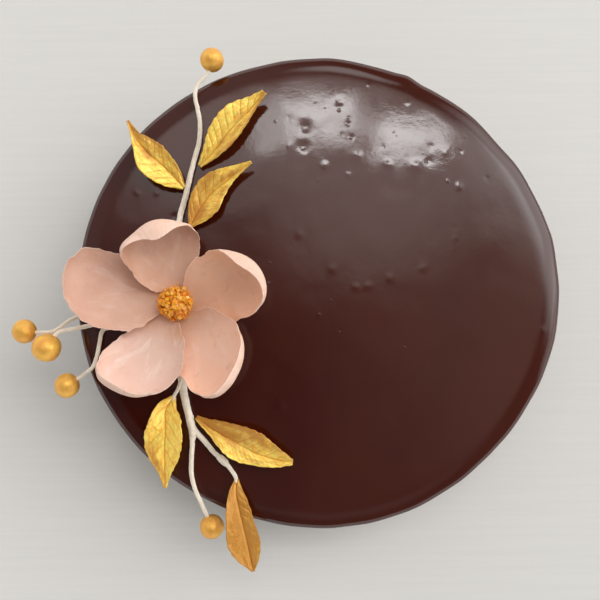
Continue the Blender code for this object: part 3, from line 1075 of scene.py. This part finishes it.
@dataclass
class Flower:
    """The open sugar flower: five petals round a ball of amber grains."""
    place: Numbers = (-67.0, -8.0, 7.5)
    petals: tuple[Petal, ...] = PETALS
    thickness: float = 0.85
    depth: float = 0.52
    foot: float = 5.0
    lean: float = 13.0
    cells: int = 46
    ripple: float = 0.35
    ripples: int = 5
    buckle: float = 0.28
    ragged: float = 0.085
    tears: int = 32
    rim: float = 0.35
    nick_spread: float = 1.6
    tear_drift: float = 0.8
    tear_grain: float = 0.35
    tear_reach: int = 6
    cut_along: float = 0.6
    cut_out: float = 0.8
    back: Colour = (0.80, 0.545, 0.43)
    centre_radius: float = 7.0
    centre_height: float = 5.4
    centre_lift: float = 5.6
    core_round: float = 0.88
    core_tall: float = 0.84
    core_tone: float = 0.2
    cover: float = 1.35
    lumps: Numbers = (0.84, 0.24)
    look_from: float = 0.12
    grains: int = 150
    grain_size: Numbers = (0.75, 1.6)
    grain_stretch: Numbers = (0.7, 1.3)
    grain_crook: Numbers = (0.8, 1.15)
    grain_edge: float = 0.22
    loose: int = 60
    loose_size: Numbers = (0.16, 0.42)
    loose_away: Numbers = (0.6, 1.3)
    seed: int = 11
    shells: list[BVHTree] = field(default_factory=list)

    def rim_cut(self, petal: Petal, tears: Numbers, angle: float) -> float:
        """Return the share by which a petal's rim draws back.

        Args:
            petal: The petal.
            tears: How far the rim is torn at even steps round it, from 0 to 1.
            angle: The angle from the tip in radians.

        Returns:
            The share of the petal's reach.
        """
        turn = Vector((math.cos(angle), math.sin(angle), petal.azimuth))
        drift = self.tear_drift * noise.noise(turn * 2.0)
        spot = (angle / math.tau * len(tears) + drift) % len(tears)
        first = int(spot) % len(tears)
        cut = tears[first] + (tears[(first + 1) % len(tears)] - tears[first]) * (spot - int(spot))
        cut = self.ragged * (cut + self.tear_grain * (noise.noise(turn * 15.0) - 1))
        for middle, half, deep in petal.nicks:
            cut += deep * max(0.0, 1 - abs(turn_between(angle, middle)) / (self.nick_spread * half))
        return cut

    def petal_point(self, petal: Petal, tears: Numbers, u: float, v: float) -> Vector:
        """Return a petal's point in its own frame.

        Args:
            petal: The petal.
            tears: How far the rim is torn at even steps round it, from 0 to 1.
            u: Place in the disk along the petal, from its foot to its tip.
            v: Place in the disk across the petal.

        Returns:
            The point in millimetres, with the tip on +X and the rim up.
        """
        disk_x = 2 * u - 1
        disk_y = 2 * v - 1
        share = math.hypot(disk_x, disk_y)
        angle = math.atan2(disk_y, disk_x)
        arc = math.radians(round_value(petal.arc, angle))
        reach = round_value(petal.reach, angle) / math.sin(min(arc, math.pi / 2))
        foot_arc = math.radians(round_value(petal.arc, math.pi))
        foot_drop = (petal.middle - self.foot) * math.tan(foot_arc / 2) * self.depth
        cut = self.rim_cut(petal, tears, angle) * share ** self.tear_reach
        share_cut = share * (1 - self.cut_along * cut)
        out = reach * math.sin(arc * share_cut) * (1 - self.cut_out * cut)
        rise = self.depth * reach * (1 - math.cos(arc * share_cut)) - foot_drop
        rise += self.ripple * share ** 3 * math.sin(self.ripples * angle + petal.azimuth)
        spot = Vector((disk_x * 2.2, disk_y * 2.2, petal.azimuth))
        rise += self.buckle * noise.noise(spot) * (1 - 0.6 * share)
        return Vector((petal.middle + out * math.cos(angle), out * math.sin(angle), rise))

    def stand(self, petal: Petal) -> Matrix:
        """Return the turn and place of a petal's own frame, in metres."""
        turn = Euler([math.radians(angle) for angle in (petal.roll, -self.lean, petal.azimuth)])
        return Matrix.Translation(spray_point(self.place)) @ turn.to_matrix().to_4x4()

    def build_petal(self, petal: Petal, bench: Bench) -> None:
        """Build one petal as a thin cupped wall.

        Args:
            petal: The petal.
            bench: Where the pieces are made.
        """
        stand = self.stand(petal)
        draw = random.Random(petal.name)
        tears = tuple(draw.random() for _ in range(self.tears))
        builder = bmesh.new()
        laid_grid(builder, self.cells, self.cells,
                  lambda u, v: stand @ (self.petal_point(petal, tears, u, v) * MM), disk_chart)
        self.shells.append(BVHTree.FromBMesh(builder))
        # The petal's tone, with its painted light, becomes the paste's middle colour.
        finish = PetalFinish(f"paste_{petal.name}", middle=petal.tone, streak=petal.streak)
        piece = bench.place(f"{petal.name}_paste", builder, finish.build(), Slot.PETAL,
                            [petal.name])
        outside = PetalFinish(f"paste_back_{petal.name}", middle=self.back, streak=petal.streak)
        piece.data.materials.append(outside.build())
        bench.wall(piece, self.thickness, 1, self.rim)

    def rest_height(self, spot: Vector) -> float:
        """Find what a grain at a spot would lie on.

        Args:
            spot: The spot in metres, whose height is left out.

        Returns:
            The height in metres of the highest petal there, or else of the glaze.
        """
        heights = [CAKE_TOP * MM]
        for shell in self.shells:
            hit = shell.ray_cast(Vector((spot.x, spot.y, self.look_from)), Vector((0, 0, -1)))
            if hit[0] is not None:
                heights.append(hit[0].z)
        return max(heights)

    def add_grain(self, builder: BMesh, draw: random.Random, spot: Vector,
                  size: float, tone: float) -> None:
        """Add one crooked sugar crystal.

        Args:
            builder: The mesh of all grains.
            draw: The seeded source of chance.
            spot: The grain's middle in metres.
            size: Its radius in millimetres.
            tone: Its tone, from 0 for dark to 1 for bright.
        """
        turn = Euler([draw.uniform(0, math.tau) for _ in range(3)]).to_matrix().to_4x4()
        sizes = [size * MM * draw.uniform(*self.grain_stretch) for _ in range(3)]
        stand = Matrix.Translation(spot) @ turn @ Matrix.Diagonal(sizes).to_4x4()
        made = bmesh.ops.create_cube(builder, size=1.5, matrix=stand)
        for vertex in made["verts"]:
            vertex.co = spot + (vertex.co - spot) * draw.uniform(*self.grain_crook)
        edges = {edge for vertex in made["verts"] for edge in vertex.link_edges}
        cut = bmesh.ops.bevel(builder, geom=list(edges), offset=self.grain_edge * size * MM,
                              offset_type="OFFSET", segments=1, profile=0.5, affect="EDGES",
                              material=-1)
        layer = builder.verts.layers.float["tone"]
        for vertex in cut["verts"]:
            vertex[layer] = tone

    def build_centre(self, bench: Bench) -> None:
        """Build the grainy ball in the middle.

        Args:
            bench: Where the pieces are made.
        """
        draw = random.Random(self.seed)
        middle = spray_point((self.place[0], self.place[1], self.place[2] + self.centre_lift))
        builder = bmesh.new()
        layer = builder.verts.layers.float.new("tone")
        width = self.centre_radius * self.core_round * MM
        half = (width, width, self.centre_height * self.core_tall * MM)
        core = Matrix.Translation(middle) @ Matrix.Diagonal(half).to_4x4()
        made = bmesh.ops.create_icosphere(builder, subdivisions=4, radius=1.0, matrix=core)
        for vertex in made["verts"]:
            vertex[layer] = self.core_tone
        golden = math.pi * (3 - math.sqrt(5))
        for number in range(self.grains):
            share = (number + 0.5) / self.grains
            height = 1 - self.cover * share
            ring = math.sqrt(1 - height * height)
            turn = golden * number + draw.uniform(-0.2, 0.2)
            lump = self.lumps[0] + self.lumps[1] * draw.random()
            away = Vector((ring * math.cos(turn) * self.centre_radius,
                           ring * math.sin(turn) * self.centre_radius,
                           height * self.centre_height)) * (lump * MM)
            size = draw.uniform(*self.grain_size)
            self.add_grain(builder, draw, middle + away, size, draw.random())
        bench.place("centre_grains", builder, PollenFinish("pollen").build(), Slot.POLLEN,
                    ["flower_centre"], smooth=False)

    def build_loose(self, bench: Bench) -> None:
        """Build the fine grains that lie on the petals round the centre.

        Args:
            bench: Where the pieces are made.
        """
        draw = random.Random(self.seed + 1)
        builder = bmesh.new()
        builder.verts.layers.float.new("tone")
        for _ in range(self.loose):
            turn = draw.uniform(0, math.tau)
            away = self.centre_radius + abs(draw.gauss(*self.loose_away))
            spot = Vector(((self.place[0] + away * math.cos(turn)) * MM,
                           (self.place[1] + away * math.sin(turn)) * MM, 0.0))
            size = draw.uniform(*self.loose_size)
            spot.z = self.rest_height(spot) + (self.thickness / 2 + size * 0.5) * MM
            self.add_grain(builder, draw, spot, size, draw.uniform(0.2, 0.8))
        bench.place("loose_grains", builder, PollenFinish("pollen_loose").build(), Slot.POLLEN,
                    smooth=False)

    def build(self, bench: Bench) -> None:
        """Build the whole flower.

        Args:
            bench: Where the pieces are made.
        """
        for petal in self.petals:
            self.build_petal(petal, bench)
        self.build_centre(bench)
        self.build_loose(bench)


# The leaves

@dataclass(frozen=True)
class Leaf:
    """One leaf: a midrib with its half widths at sixths of the length.

    left and right are seen from the stalk. fold is the angle in degrees that
    each half stands up from the midrib, twist turns the tip about the midrib,
    and veins is how many side veins each half has. brown_and_shade says where
    the lustre is browner: everywhere, more to the left, and more to the tip; the
    left term is painted light, one half darker as if shaded and the other lighter
    as if lit. tip is the half width at the very end.
    """
    name: str
    midrib: tuple[Numbers, ...]
    left: Numbers
    right: Numbers
    fold: float
    twist: float
    veins: float = 9.0
    brown_and_shade: Numbers = (0.3, 0.0, 0.0)
    tip: float = 0.5


LEAVES = (
    Leaf("leaf_upper_left",
         ((-64.5, 48.5, 4.2), (-74, 58.5, 5.5), (-81, 64.5, 7), (-87, 72, 8), (-90.5, 80, 9.5)),
         (6.4, 8.8, 8.6, 4.6, 1.5), (4.5, 6, 7.3, 5.9, 2.6), 16, 10, 8,
         (0.35, -0.3, 0.3)),
    Leaf("leaf_upper_right",
         ((-57, 59.5, 3), (-49.5, 66.5, 5), (-40, 78, 7), (-30.5, 87, 8), (-25, 93.5, 10)),
         (5, 8.2, 9.1, 8.6, 5.5), (3, 5, 5.4, 4, 1.6), 16, -12, 11,
         (0.3, -0.35, 0.15), 1.3),
    Leaf("leaf_middle_right",
         ((-61.5, 29.5, 5), (-53, 43, 6), (-43, 51.5, 7), (-37, 56, 8), (-31.5, 59.5, 10)),
         (4.8, 7.2, 7.8, 6.2, 3), (6.2, 8.2, 6, 2.8, 1.4), 16, 12, 9,
         (0.45, 0.15, -0.35)),
    Leaf("leaf_lower_left",
         ((-68.8, -51.5, 5), (-72.5, -58, 6.5), (-72.5, -67, 7), (-73, -76.5, 6), (-73, -94, 4.5)),
         (6.6, 7.9, 8.5, 7.3, 3.6), (5, 8.4, 9.3, 7.3, 3), 18, 6, 7,
         (0.05, -0.35, 0.3)),
    Leaf("leaf_lower_right",
         ((-58.5, -61.5, 4), (-52.5, -66, 5), (-44, -70.5, 6.5), (-35, -75.5, 7.5), (-27.5, -79, 8),
          (-20, -81, 8.5), (-13, -82, 9.5)),
         (4.5, 7, 9.4, 9.4, 6), (2.6, 6, 7.5, 5.6, 3.8), 16, 8, 11,
         (0.45, 0.4, -0.35), 1.3),
    Leaf("leaf_bottom",
         ((-39.7, -90.8, 2.7), (-39.5, -98.5, 4), (-37.5, -108, 4), (-35, -119, 3),
          (-32.1, -134.1, 0.1)),
         (4, 5.3, 5.7, 6.4, 4.7), (4.1, 6.5, 8, 8.8, 6), 15, -8, 9,
         (1.0, -0.15, 0.0)),
)


@dataclass
class Foliage:
    """The embossed gold leaves."""
    leaves: tuple[Leaf, ...] = LEAVES
    thickness: float = 0.6
    along: int = 116
    across: int = 40
    stalk: float = 0.9
    opening: float = 0.25
    ripple: float = 0.05
    crease: float = 0.5
    crease_width: float = 0.6
    teeth: float = 0.06
    scallops: float = 0.035
    vein_depth: float = 0.28
    vein_slant: float = 1.5
    midrib_width: float = 0.42
    vein_width: float = 0.08
    vein_bend: float = 0.3
    vein_curve: float = 0.85
    fine_veins: float = 4.0
    fine_width: float = 0.16
    fine_depth: float = 0.3
    patches: float = 0.55
    puff: float = 0.13
    crumple: float = 0.3

    def vein_mask(self, leaf: Leaf, share: float, side: float, width: float) -> float:
        """Return how much of a vein lies at a place of the leaf.

        Args:
            leaf: The leaf.
            share: How far along the leaf.
            side: How far across, from -1 to 1.
            width: The half width there in millimetres.

        Returns:
            A mask from 0 to 1.
        """
        middle = hump(abs(side) * width, self.midrib_width)
        shift = 0.5 if side > 0 else 0.0
        bend = self.vein_bend * soft_noise(share * 4, side * 1.5, leaf.fold + leaf.twist)
        phase = share * leaf.veins - abs(side) ** self.vein_curve * self.vein_slant + shift + bend
        gap = abs((phase % 1.0) - 0.5)
        branch = hump(gap, self.vein_width) * fade(abs(side), 0.02, 0.12)
        branch *= fade(1 - abs(side), 0.02, 0.2)
        branch *= 0.85 + 0.5 * soft_noise(share * 14, side * 3.0, leaf.twist)
        gap = abs(((phase * self.fine_veins + 0.3) % 1.0) - 0.5)
        fine = hump(gap, self.fine_width) * self.fine_depth * fade(abs(side), 0.1, 0.3)
        return min(max(middle + branch * fade(share, 0.02, 0.1) + fine, 0.0), 1.0)

    def brown_and_shade(self, leaf: Leaf, share: float, side: float) -> float:
        """Find how brown the lustre is at a place of the leaf, painted shade on one half included.

        Args:
            leaf: The leaf.
            share: How far along the leaf.
            side: How far across, from -1 to 1.

        Returns:
            A value from 0 for bright to 1.
        """
        plain, left, tip = leaf.brown_and_shade
        cloud = soft_noise(share * 4.5, side * 2.2, leaf.fold + leaf.twist)
        # left * side is painted light: one half darker as if shaded, the other lighter as if lit.
        value = plain + left * side + tip * (2 * share - 1) + self.patches * cloud
        return min(max(value, 0.0), 1.0)

    def lay_leaf(self, leaf: Leaf, builder: BMesh) -> None:
        """Lay one leaf's surface, with its veins pressed in and marked.

        Args:
            leaf: The leaf.
            builder: The mesh to add to.
        """
        midrib = even_route([spray_point(point) for point in leaf.midrib], self.along)
        marks: dict[tuple[int, int], Numbers] = {}

        def place(u: float, v: float) -> Vector:
            """Place a point of the leaf and note its vein and its brown_and_shade value.

            Args:
                u: Share along the leaf.
                v: Share across it, from right to left.

            Returns:
                The point in metres.
            """
            side = 2 * v - 1
            step = min(round(u * self.along), self.along)
            ahead = midrib[min(step + 1, self.along)] - midrib[max(step - 1, 0)]
            left = Vector((-ahead.y, ahead.x, 0)).normalized()
            edge = leaf.left if side > 0 else leaf.right
            width = line_value((self.stalk, *edge, leaf.tip), u)
            jag = self.teeth * (soft_noise(u * 22, leaf.twist, 3.0 if side > 0 else 9.0) - 0.5)
            jag += self.scallops * abs(math.sin(math.pi * (u * leaf.veins - self.vein_slant)))
            reach = width * (1 + jag * fade(abs(side), 0.6, 1.0))
            tilt = math.radians(leaf.twist) * u * side + math.radians(leaf.fold) * abs(side)
            wave = self.ripple * width * math.sin(11 * u + 2 * side)
            rise = width * math.tan(tilt) * min(1, u / self.opening) + wave * abs(side)
            mask = self.vein_mask(leaf, u, side, width)
            marks[round(u * self.along), round(v * self.across)] = (mask, self.brown_and_shade(leaf, u, side))
            groove = (self.crease - self.vein_depth) * hump(abs(side) * width, self.crease_width)
            rise -= (self.vein_depth * mask + groove) * fade(width, 0.8, 3.0)
            swell = math.sin(math.pi * ((u * leaf.veins - abs(side) * self.vein_slant) % 1.0))
            rise += self.puff * swell * fade(abs(side), 0.0, 0.35) * fade(width, 1.0, 4.0)
            spot = Vector((u * 9, side * 3, leaf.twist))
            folds = self.crumple * noise.noise(spot) + 0.5 * self.crumple * noise.noise(spot * 4.1)
            rise += folds * fade(abs(side), 0.0, 0.5)
            return midrib[step] + left * (reach * side * MM) + Vector((0, 0, rise * MM))

        for name in ("vein", "brown_and_shade"):
            builder.verts.layers.float.new(name)
        layers = [builder.verts.layers.float[name] for name in ("vein", "brown_and_shade")]
        corners = laid_grid(builder, self.along, self.across, place)
        uv = builder.loops.layers.uv.verify()
        for vertex in corners:
            spot = vertex.link_loops[0][uv].uv
            values = marks[round(spot.x * self.along), round(spot.y * self.across)]
            for layer, value in zip(layers, values):
                vertex[layer] = value

    def build(self, bench: Bench) -> None:
        """Build every leaf.

        Args:
            bench: Where the pieces are made.
        """
        material = LeafFinish("gold_leaf").build()
        for leaf in self.leaves:
            builder = bmesh.new()
            self.lay_leaf(leaf, builder)
            piece = bench.place(f"{leaf.name}_gold", builder, material, Slot.LEAF, [leaf.name])
            bench.wall(piece, self.thickness, 0)


# Berries and wires

@dataclass
class Berries:
    """The gold sugar balls, each a little lumpy."""
    names: tuple[str, ...] = ("berry_top", "berry_left_1", "berry_left_2", "berry_left_3",
                              "berry_bottom")
    lump: float = 0.03

    def build(self, bench: Bench) -> None:
        """Build every berry in the box of its solid.

        Args:
            bench: Where the pieces are made.
        """
        material = BerryFinish("gold_berry").build()
        for number, name in enumerate(self.names):
            low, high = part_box(name)
            middle = (low + high) / 2
            half = (high - low) / 2
            builder = bmesh.new()
            bmesh.ops.create_icosphere(builder, subdivisions=5, radius=1.0)
            for vertex in builder.verts:
                way = vertex.co.copy()
                lump = noise.noise(way * 1.4 + Vector((number * 5.0, 0, 0)))
                size = 1 - self.lump + self.lump * lump + 0.25 * self.lump * noise.noise(way * 6)
                vertex.co = middle + Vector([reach * part for reach, part in zip(half, way)]) * size
            bench.place(f"{name}_gold", builder, material, Slot.BERRY, [name])


@dataclass(frozen=True)
class Wire:
    """One taped wire: its route, and its radius at both ends."""
    name: str
    points: tuple[Numbers, ...]
    start: float
    end: float


WIRES = (
    Wire("stem_upper",
         ((-67, -1, 2.2), (-67.5, 16, 2.2), (-67, 32.5, 2.1), (-64, 45, 2), (-61.5, 56, 2),
          (-59.5, 64, 1.8), (-57.5, 71.5, 1.8), (-57, 80.5, 1.7), (-58, 87, 1.5),
          (-59.5, 95, 1.5), (-58.5, 100, 1.5), (-55.5, 103.5, 1.8), (-53, 106.3, 2.1),
          (-52.2, 109, 2.3)), 1.65, 0.9),
    Wire("stem_lower",
         ((-67, -15.2, 2.6), (-66.8, -30, 2.6), (-65.5, -43.5, 2.6), (-64.5, -50.5, 2.5),
          (-63, -57.5, 2.4), (-61.5, -63, 2.3), (-60.5, -68.2, 2.3), (-60.2, -70.5, 2.3)),
         2.05, 1.7),
    Wire("stem_lower_berry",
         ((-61.6, -64, 2.2), (-60.9, -69.2, 2.2), (-60.6, -74, 2), (-61, -81, 2), (-61, -88, 2),
          (-59.5, -95, 1.5), (-57, -101.5, 0), (-54.4, -108, -1.5), (-53.4, -110.5, -2)),
         1.25, 0.95),
    Wire("stem_lower_leaf",
         ((-60.6, -65.5, 2.2), (-58.4, -69.1, 2.3), (-55.5, -72, 2.2), (-50.5, -78, 2.2),
          (-45.5, -82.5, 2.2), (-41.8, -87, 2.2), (-40.1, -89.9, 2.3), (-39.8, -92.5, 2.9)),
         1.4, 0.9),
    Wire("stalk_leaf_lower_left",
         ((-69.6, -54, 5.2), (-68.6, -51, 5), (-67, -48, 5.2), (-65.7, -43.5, 4.6),
          (-65.5, -38, 4)), 0.8, 0.8),
    Wire("wire_left_1",
         ((-73.6, -6, 1.7), (-95, -9, 1.7), (-114.5, -13, 2), (-121, -16, 2), (-125.5, -19.3, 1.7),
          (-129, -20.5, 1.7), (-134.6, -20.6, 1.8), (-137, -20.4, 1.9)), 1.1, 0.85),
    Wire("wire_left_2",
         ((-73.2, -10, 1.9), (-95, -14, 3), (-109, -17.5, 3.6), (-116, -19, 4.5),
          (-122.5, -20.3, 5.6), (-124.2, -21.3, 6.1), (-126, -24, 6.6)), 1.2, 0.95),
    Wire("wire_left_3",
         ((-71.6, -13, 1.9), (-94, -18, 2), (-101.5, -18.8, 2.1), (-104, -21, 2.3),
          (-105.5, -29.5, 2.5), (-107.5, -36.5, 2.8), (-110, -39.3, 3), (-114.6, -42.6, 3),
          (-117, -44, 3)), 1.2, 0.85),
)
WRAPS = (
    Wire("wrap_leaf_bottom",
         ((-49.5, -79, 2.3), (-47, -81.2, 2.4), (-45.2, -82.9, 2.4), (-43, -85.5, 2.3)), 1.75, 1.6),
    Wire("wrap_fork",
         ((-62.6, -58.5, 2.3), (-61.4, -64, 2.4), (-60.2, -68.5, 2.3), (-59.7, -72.5, 2.1)),
         2.1, 1.5),
)


@dataclass
class Stems:
    """The wires wound with paper tape, and the extra turns of tape where they join."""
    wires: tuple[Wire, ...] = WIRES
    wraps: tuple[Wire, ...] = WRAPS
    spacing: float = 0.42
    sides: int = 20
    pitch: float = 6.5
    lap: float = 0.09
    end_size: float = 0.35
    end_reach: float = 0.4
    drift: float = 0.4
    paper: float = 0.96
    fold_length: float = 1.6
    fold_turn: float = 1.3
    wrinkle: float = 0.1
    taper: float = 0.9
    wrap_wrinkle: float = 0.2
    wrap_taper: float = 3.5

    def tape_radius(self, wire: Wire, length: float, crumple: float,
                    taper: float) -> Callable[[float, float], float]:
        """Return the tube's radius as the tape is wound.

        Args:
            wire: The wire.
            length: Its length in millimetres.
            crumple: How strong its wrinkles are, as a share of its radius.
            taper: The length in millimetres over which its ends swell up.

        Returns:
            The function that laid_tube asks.
        """
        shift = len(wire.name) + wire.points[0][1]

        def radius(run: float, angle: float) -> float:
            """Find the radius at a place of the tube.

            Args:
                run: The length run so far, in millimetres.
                angle: The angle round it.

            Returns:
                The radius in millimetres.
            """
            plain = wire.start + (wire.end - wire.start) * run / length
            turns = run / self.pitch + self.drift * soft_noise(run / 9, shift, 0)
            edge = (turns - angle / math.tau) % 1.0
            lap = self.lap * fade(edge, 0.0, 0.12) * (1 - edge)
            spot = Vector((math.cos(angle) * self.fold_turn, math.sin(angle) * self.fold_turn,
                           run / self.fold_length + shift))
            folds = crumple * noise.noise(spot) + 0.5 * crumple * noise.noise(spot * 2.7)
            ends = fade(run, -self.end_reach, taper) * fade(length - run, -self.end_reach, taper)
            return plain * (self.paper + lap + folds) * (self.end_size + (1 - self.end_size) * ends)

        return radius

    def build_wire(self, wire: Wire, bench: Bench, material: Material, crumple: float,
                   taper: float, nodes: Sequence[str] = ()) -> None:
        """Build one taped wire or wrap.

        Args:
            wire: The wire.
            bench: Where its piece is made.
            material: The tape.
            crumple: How strong its wrinkles are, as a share of its radius.
            taper: The length in millimetres over which its ends swell up.
            nodes: The plain solids that it stands for.
        """
        points = [spray_point(point) for point in wire.points]
        route = even_route(points, round(run_lengths(points)[-1] / self.spacing))
        radius = self.tape_radius(wire, run_lengths(route)[-1], crumple, taper)
        builder = bmesh.new()
        laid_tube(builder, route, self.sides, radius)
        bench.place(f"{wire.name}_tape", builder, material, Slot.TAPE, nodes)

    def build(self, bench: Bench) -> None:
        """Build every wire and wrap, and finish the calyx.

        Args:
            bench: Where the pieces are made.
        """
        material = TapeFinish("tape").build()
        for wire in self.wires:
            self.build_wire(wire, bench, material, self.wrinkle, self.taper, [wire.name])
        for wrap in self.wraps:
            self.build_wire(wrap, bench, material, self.wrap_wrinkle, self.wrap_taper)
        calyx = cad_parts["calyx"]
        calyx.data.materials.clear()
        calyx.data.materials.append(material)


# Floor, light and camera

@dataclass(frozen=True)
class Lamp:
    """One flat lamp that faces down: its place and size in metres and its brightness."""
    name: str
    place: Numbers
    size: Numbers
    radiance: float

    def build(self) -> None:
        """Add the lamp."""
        light = bpy.data.lights.new(self.name, "AREA")
        light.shape = "RECTANGLE"
        light.size, light.size_y = self.size
        light.energy = 4 * self.radiance * self.size[0] * self.size[1]
        add_object(self.name, light).location = self.place


@dataclass(frozen=True)
class Glow:
    """A soft patch of brighter wall: the way to it, its outer and inner angle, its radiance."""
    toward: Numbers
    outer: float
    inner: float
    radiance: float


@dataclass
class Studio:
    """A pale floor under a window's soft light, seen almost straight from above."""
    lamps: tuple[Lamp, ...] = (
        Lamp("pane_left", (0.062, 0.575, 1.5), (0.192, 0.113), 8.8),
        Lamp("pane_right", (0.300, 0.520, 1.5), (0.21, 0.11), 9.0),
        Lamp("pane_strip", (-0.075, 0.56, 1.51), (0.07, 0.14), 3.5),
    )
    glows: tuple[Glow, ...] = (
        Glow((0.17, 0.41, 1.45), 13.0, 4.0, 1.1),
        Glow((0.58, 0.50, 1.445), 11.0, 2.0, 1.4),
        Glow((0.694, 0.324, 0.643), 27.0, 10.0, 3.4),
        Glow((0.866, -0.050, 0.498), 16.0, 6.0, 1.6),
        Glow((0.433, 0.250, 0.866), 13.0, 3.0, 1.9),
        Glow((0.107, 0.606, 0.788), 9.0, 2.0, 2.6),
        Glow((-0.15, 0.295, 0.944), 9.0, 2.5, 1.15),
        Glow((-0.47, 0.47, 0.743), 42.0, 15.0, 0.4),
        Glow((0.1, -0.35, 0.93), 25.0, 8.0, 0.2),
    )
    window_way: Numbers = (0.625, 0.78, 0.0)
    sky_high: tuple[float, float] = (0.01, 0.95)
    sky_middle: float = 0.17
    sky_low: tuple[float, float] = (1.2, 1.45)
    sky_colour: Colour = (1.0, 0.985, 0.975)
    overhead_colour: Colour = (1.0, 0.77, 0.67)
    floor_half: float = 2.5
    floor_colour: Colour = (0.71, 0.715, 0.69)
    floor_grain: float = 0.97
    eye: Numbers = (-0.01175, -0.02826, 0.3888)
    eye_turn: Numbers = (3.816, -0.465, -0.541)
    eye_length: float = 690.0
    image_width: float = 600.0
    sensor: float = 36.0

    def add_floor(self) -> None:
        """Add the pale floor, with a faint brushed grain."""
        builder = bmesh.new()
        bmesh.ops.create_grid(builder, x_segments=1, y_segments=1, size=self.floor_half)
        mesh = bpy.data.meshes.new("floor")
        builder.to_mesh(mesh)
        builder.free()
        floor = add_object("floor", mesh)
        material, board, shader = Finish("floor").start(Roughness=0.6)
        place = board.node("TexCoord").outputs["Object"]
        lines = board.noise(board.stretched(place, (2.0, 60.0, 1.0)), 6.0, 3.0, 0.6)
        pale = Vector(self.floor_colour)
        share = board.spread(lines, 0.3, 0.7)
        colour = board.mix(share, tuple(pale * self.floor_grain), tuple(pale))
        board.feed(shader.inputs["Base Color"], colour)
        mesh.materials.append(material)

    def add_sky(self) -> None:
        """Light the room softly, dark overhead and brighter low down and at the window."""
        world = bpy.data.worlds.new("room")
        world.use_nodes = True
        board = Board(world.node_tree)
        way = board.node("TexCoord").outputs["Generated"]

        def along(toward: Numbers) -> Socket:
            """Return how much a direction points that way."""
            inputs = {0: way, 1: Vector(toward).normalized()}
            return board.node("VectorMath", inputs, operation="DOT_PRODUCT").outputs["Value"]

        def scaled(colour: Colour, amount: Socket) -> Socket:
            """Return a colour's light as strong as the amount."""
            made = board.node("VectorMath", {0: colour, "Scale": amount}, operation="SCALE")
            return made.outputs[0]

        side = along(self.window_way)
        high = board.spread(side, -0.14, 0.32, *self.sky_high)
        low = board.spread(side, -0.5, 0.5, *self.sky_low)
        rise = board.node("SeparateXYZ", {0: way}).outputs[2]
        level = board.spread(rise, 0.86, 0.95)
        walls = board.spread(rise, 0.36, 0.5, 1.0, 0.0)
        middle = board.times(board.math("SUBTRACT", 1.0, level), self.sky_middle)
        rest = board.math("ADD", middle, board.times(low, walls))
        for glow in self.glows:
            far, near = (math.cos(math.radians(angle)) for angle in (glow.outer, glow.inner))
            lobe = board.spread(along(glow.toward), far, near, 0.0, glow.radiance)
            rest = board.math("ADD", rest, lobe)
        overhead = scaled(self.overhead_colour, board.times(high, level))
        total = board.node("VectorMath", {0: overhead, 1: scaled(self.sky_colour, rest)},
                           operation="ADD").outputs[0]
        board.feed(world.node_tree.nodes["Background"].inputs["Color"], total)
        bpy.context.scene.world = world

    def add_camera(self) -> None:
        """Add the camera at the photograph's angle."""
        lens = bpy.data.cameras.new("camera")
        lens.sensor_width = self.sensor
        lens.lens = self.eye_length / self.image_width * self.sensor
        lens.clip_start = 0.01
        camera = add_object("camera", lens)
        camera.location = self.eye
        camera.rotation_euler = [math.radians(angle) for angle in self.eye_turn]
        bpy.context.scene.camera = camera

    def build(self) -> None:
        """Set up floor, light, camera and plain colour handling."""
        bpy.context.scene.view_settings.view_transform = "Standard"
        self.add_floor()
        self.add_sky()
        self.add_camera()
        for lamp in self.lamps:
            lamp.build()


def main() -> None:
    """Build the looks of the cake."""
    logging.basicConfig(level=logging.INFO, format="%(name)s: %(message)s")
    bench = Bench()
    Studio().build()
    Cake().build(bench)
    Flower().build(bench)
    Foliage().build(bench)
    Berries().build(bench)
    Stems().build(bench)


if __name__ == "__main__":
    main()
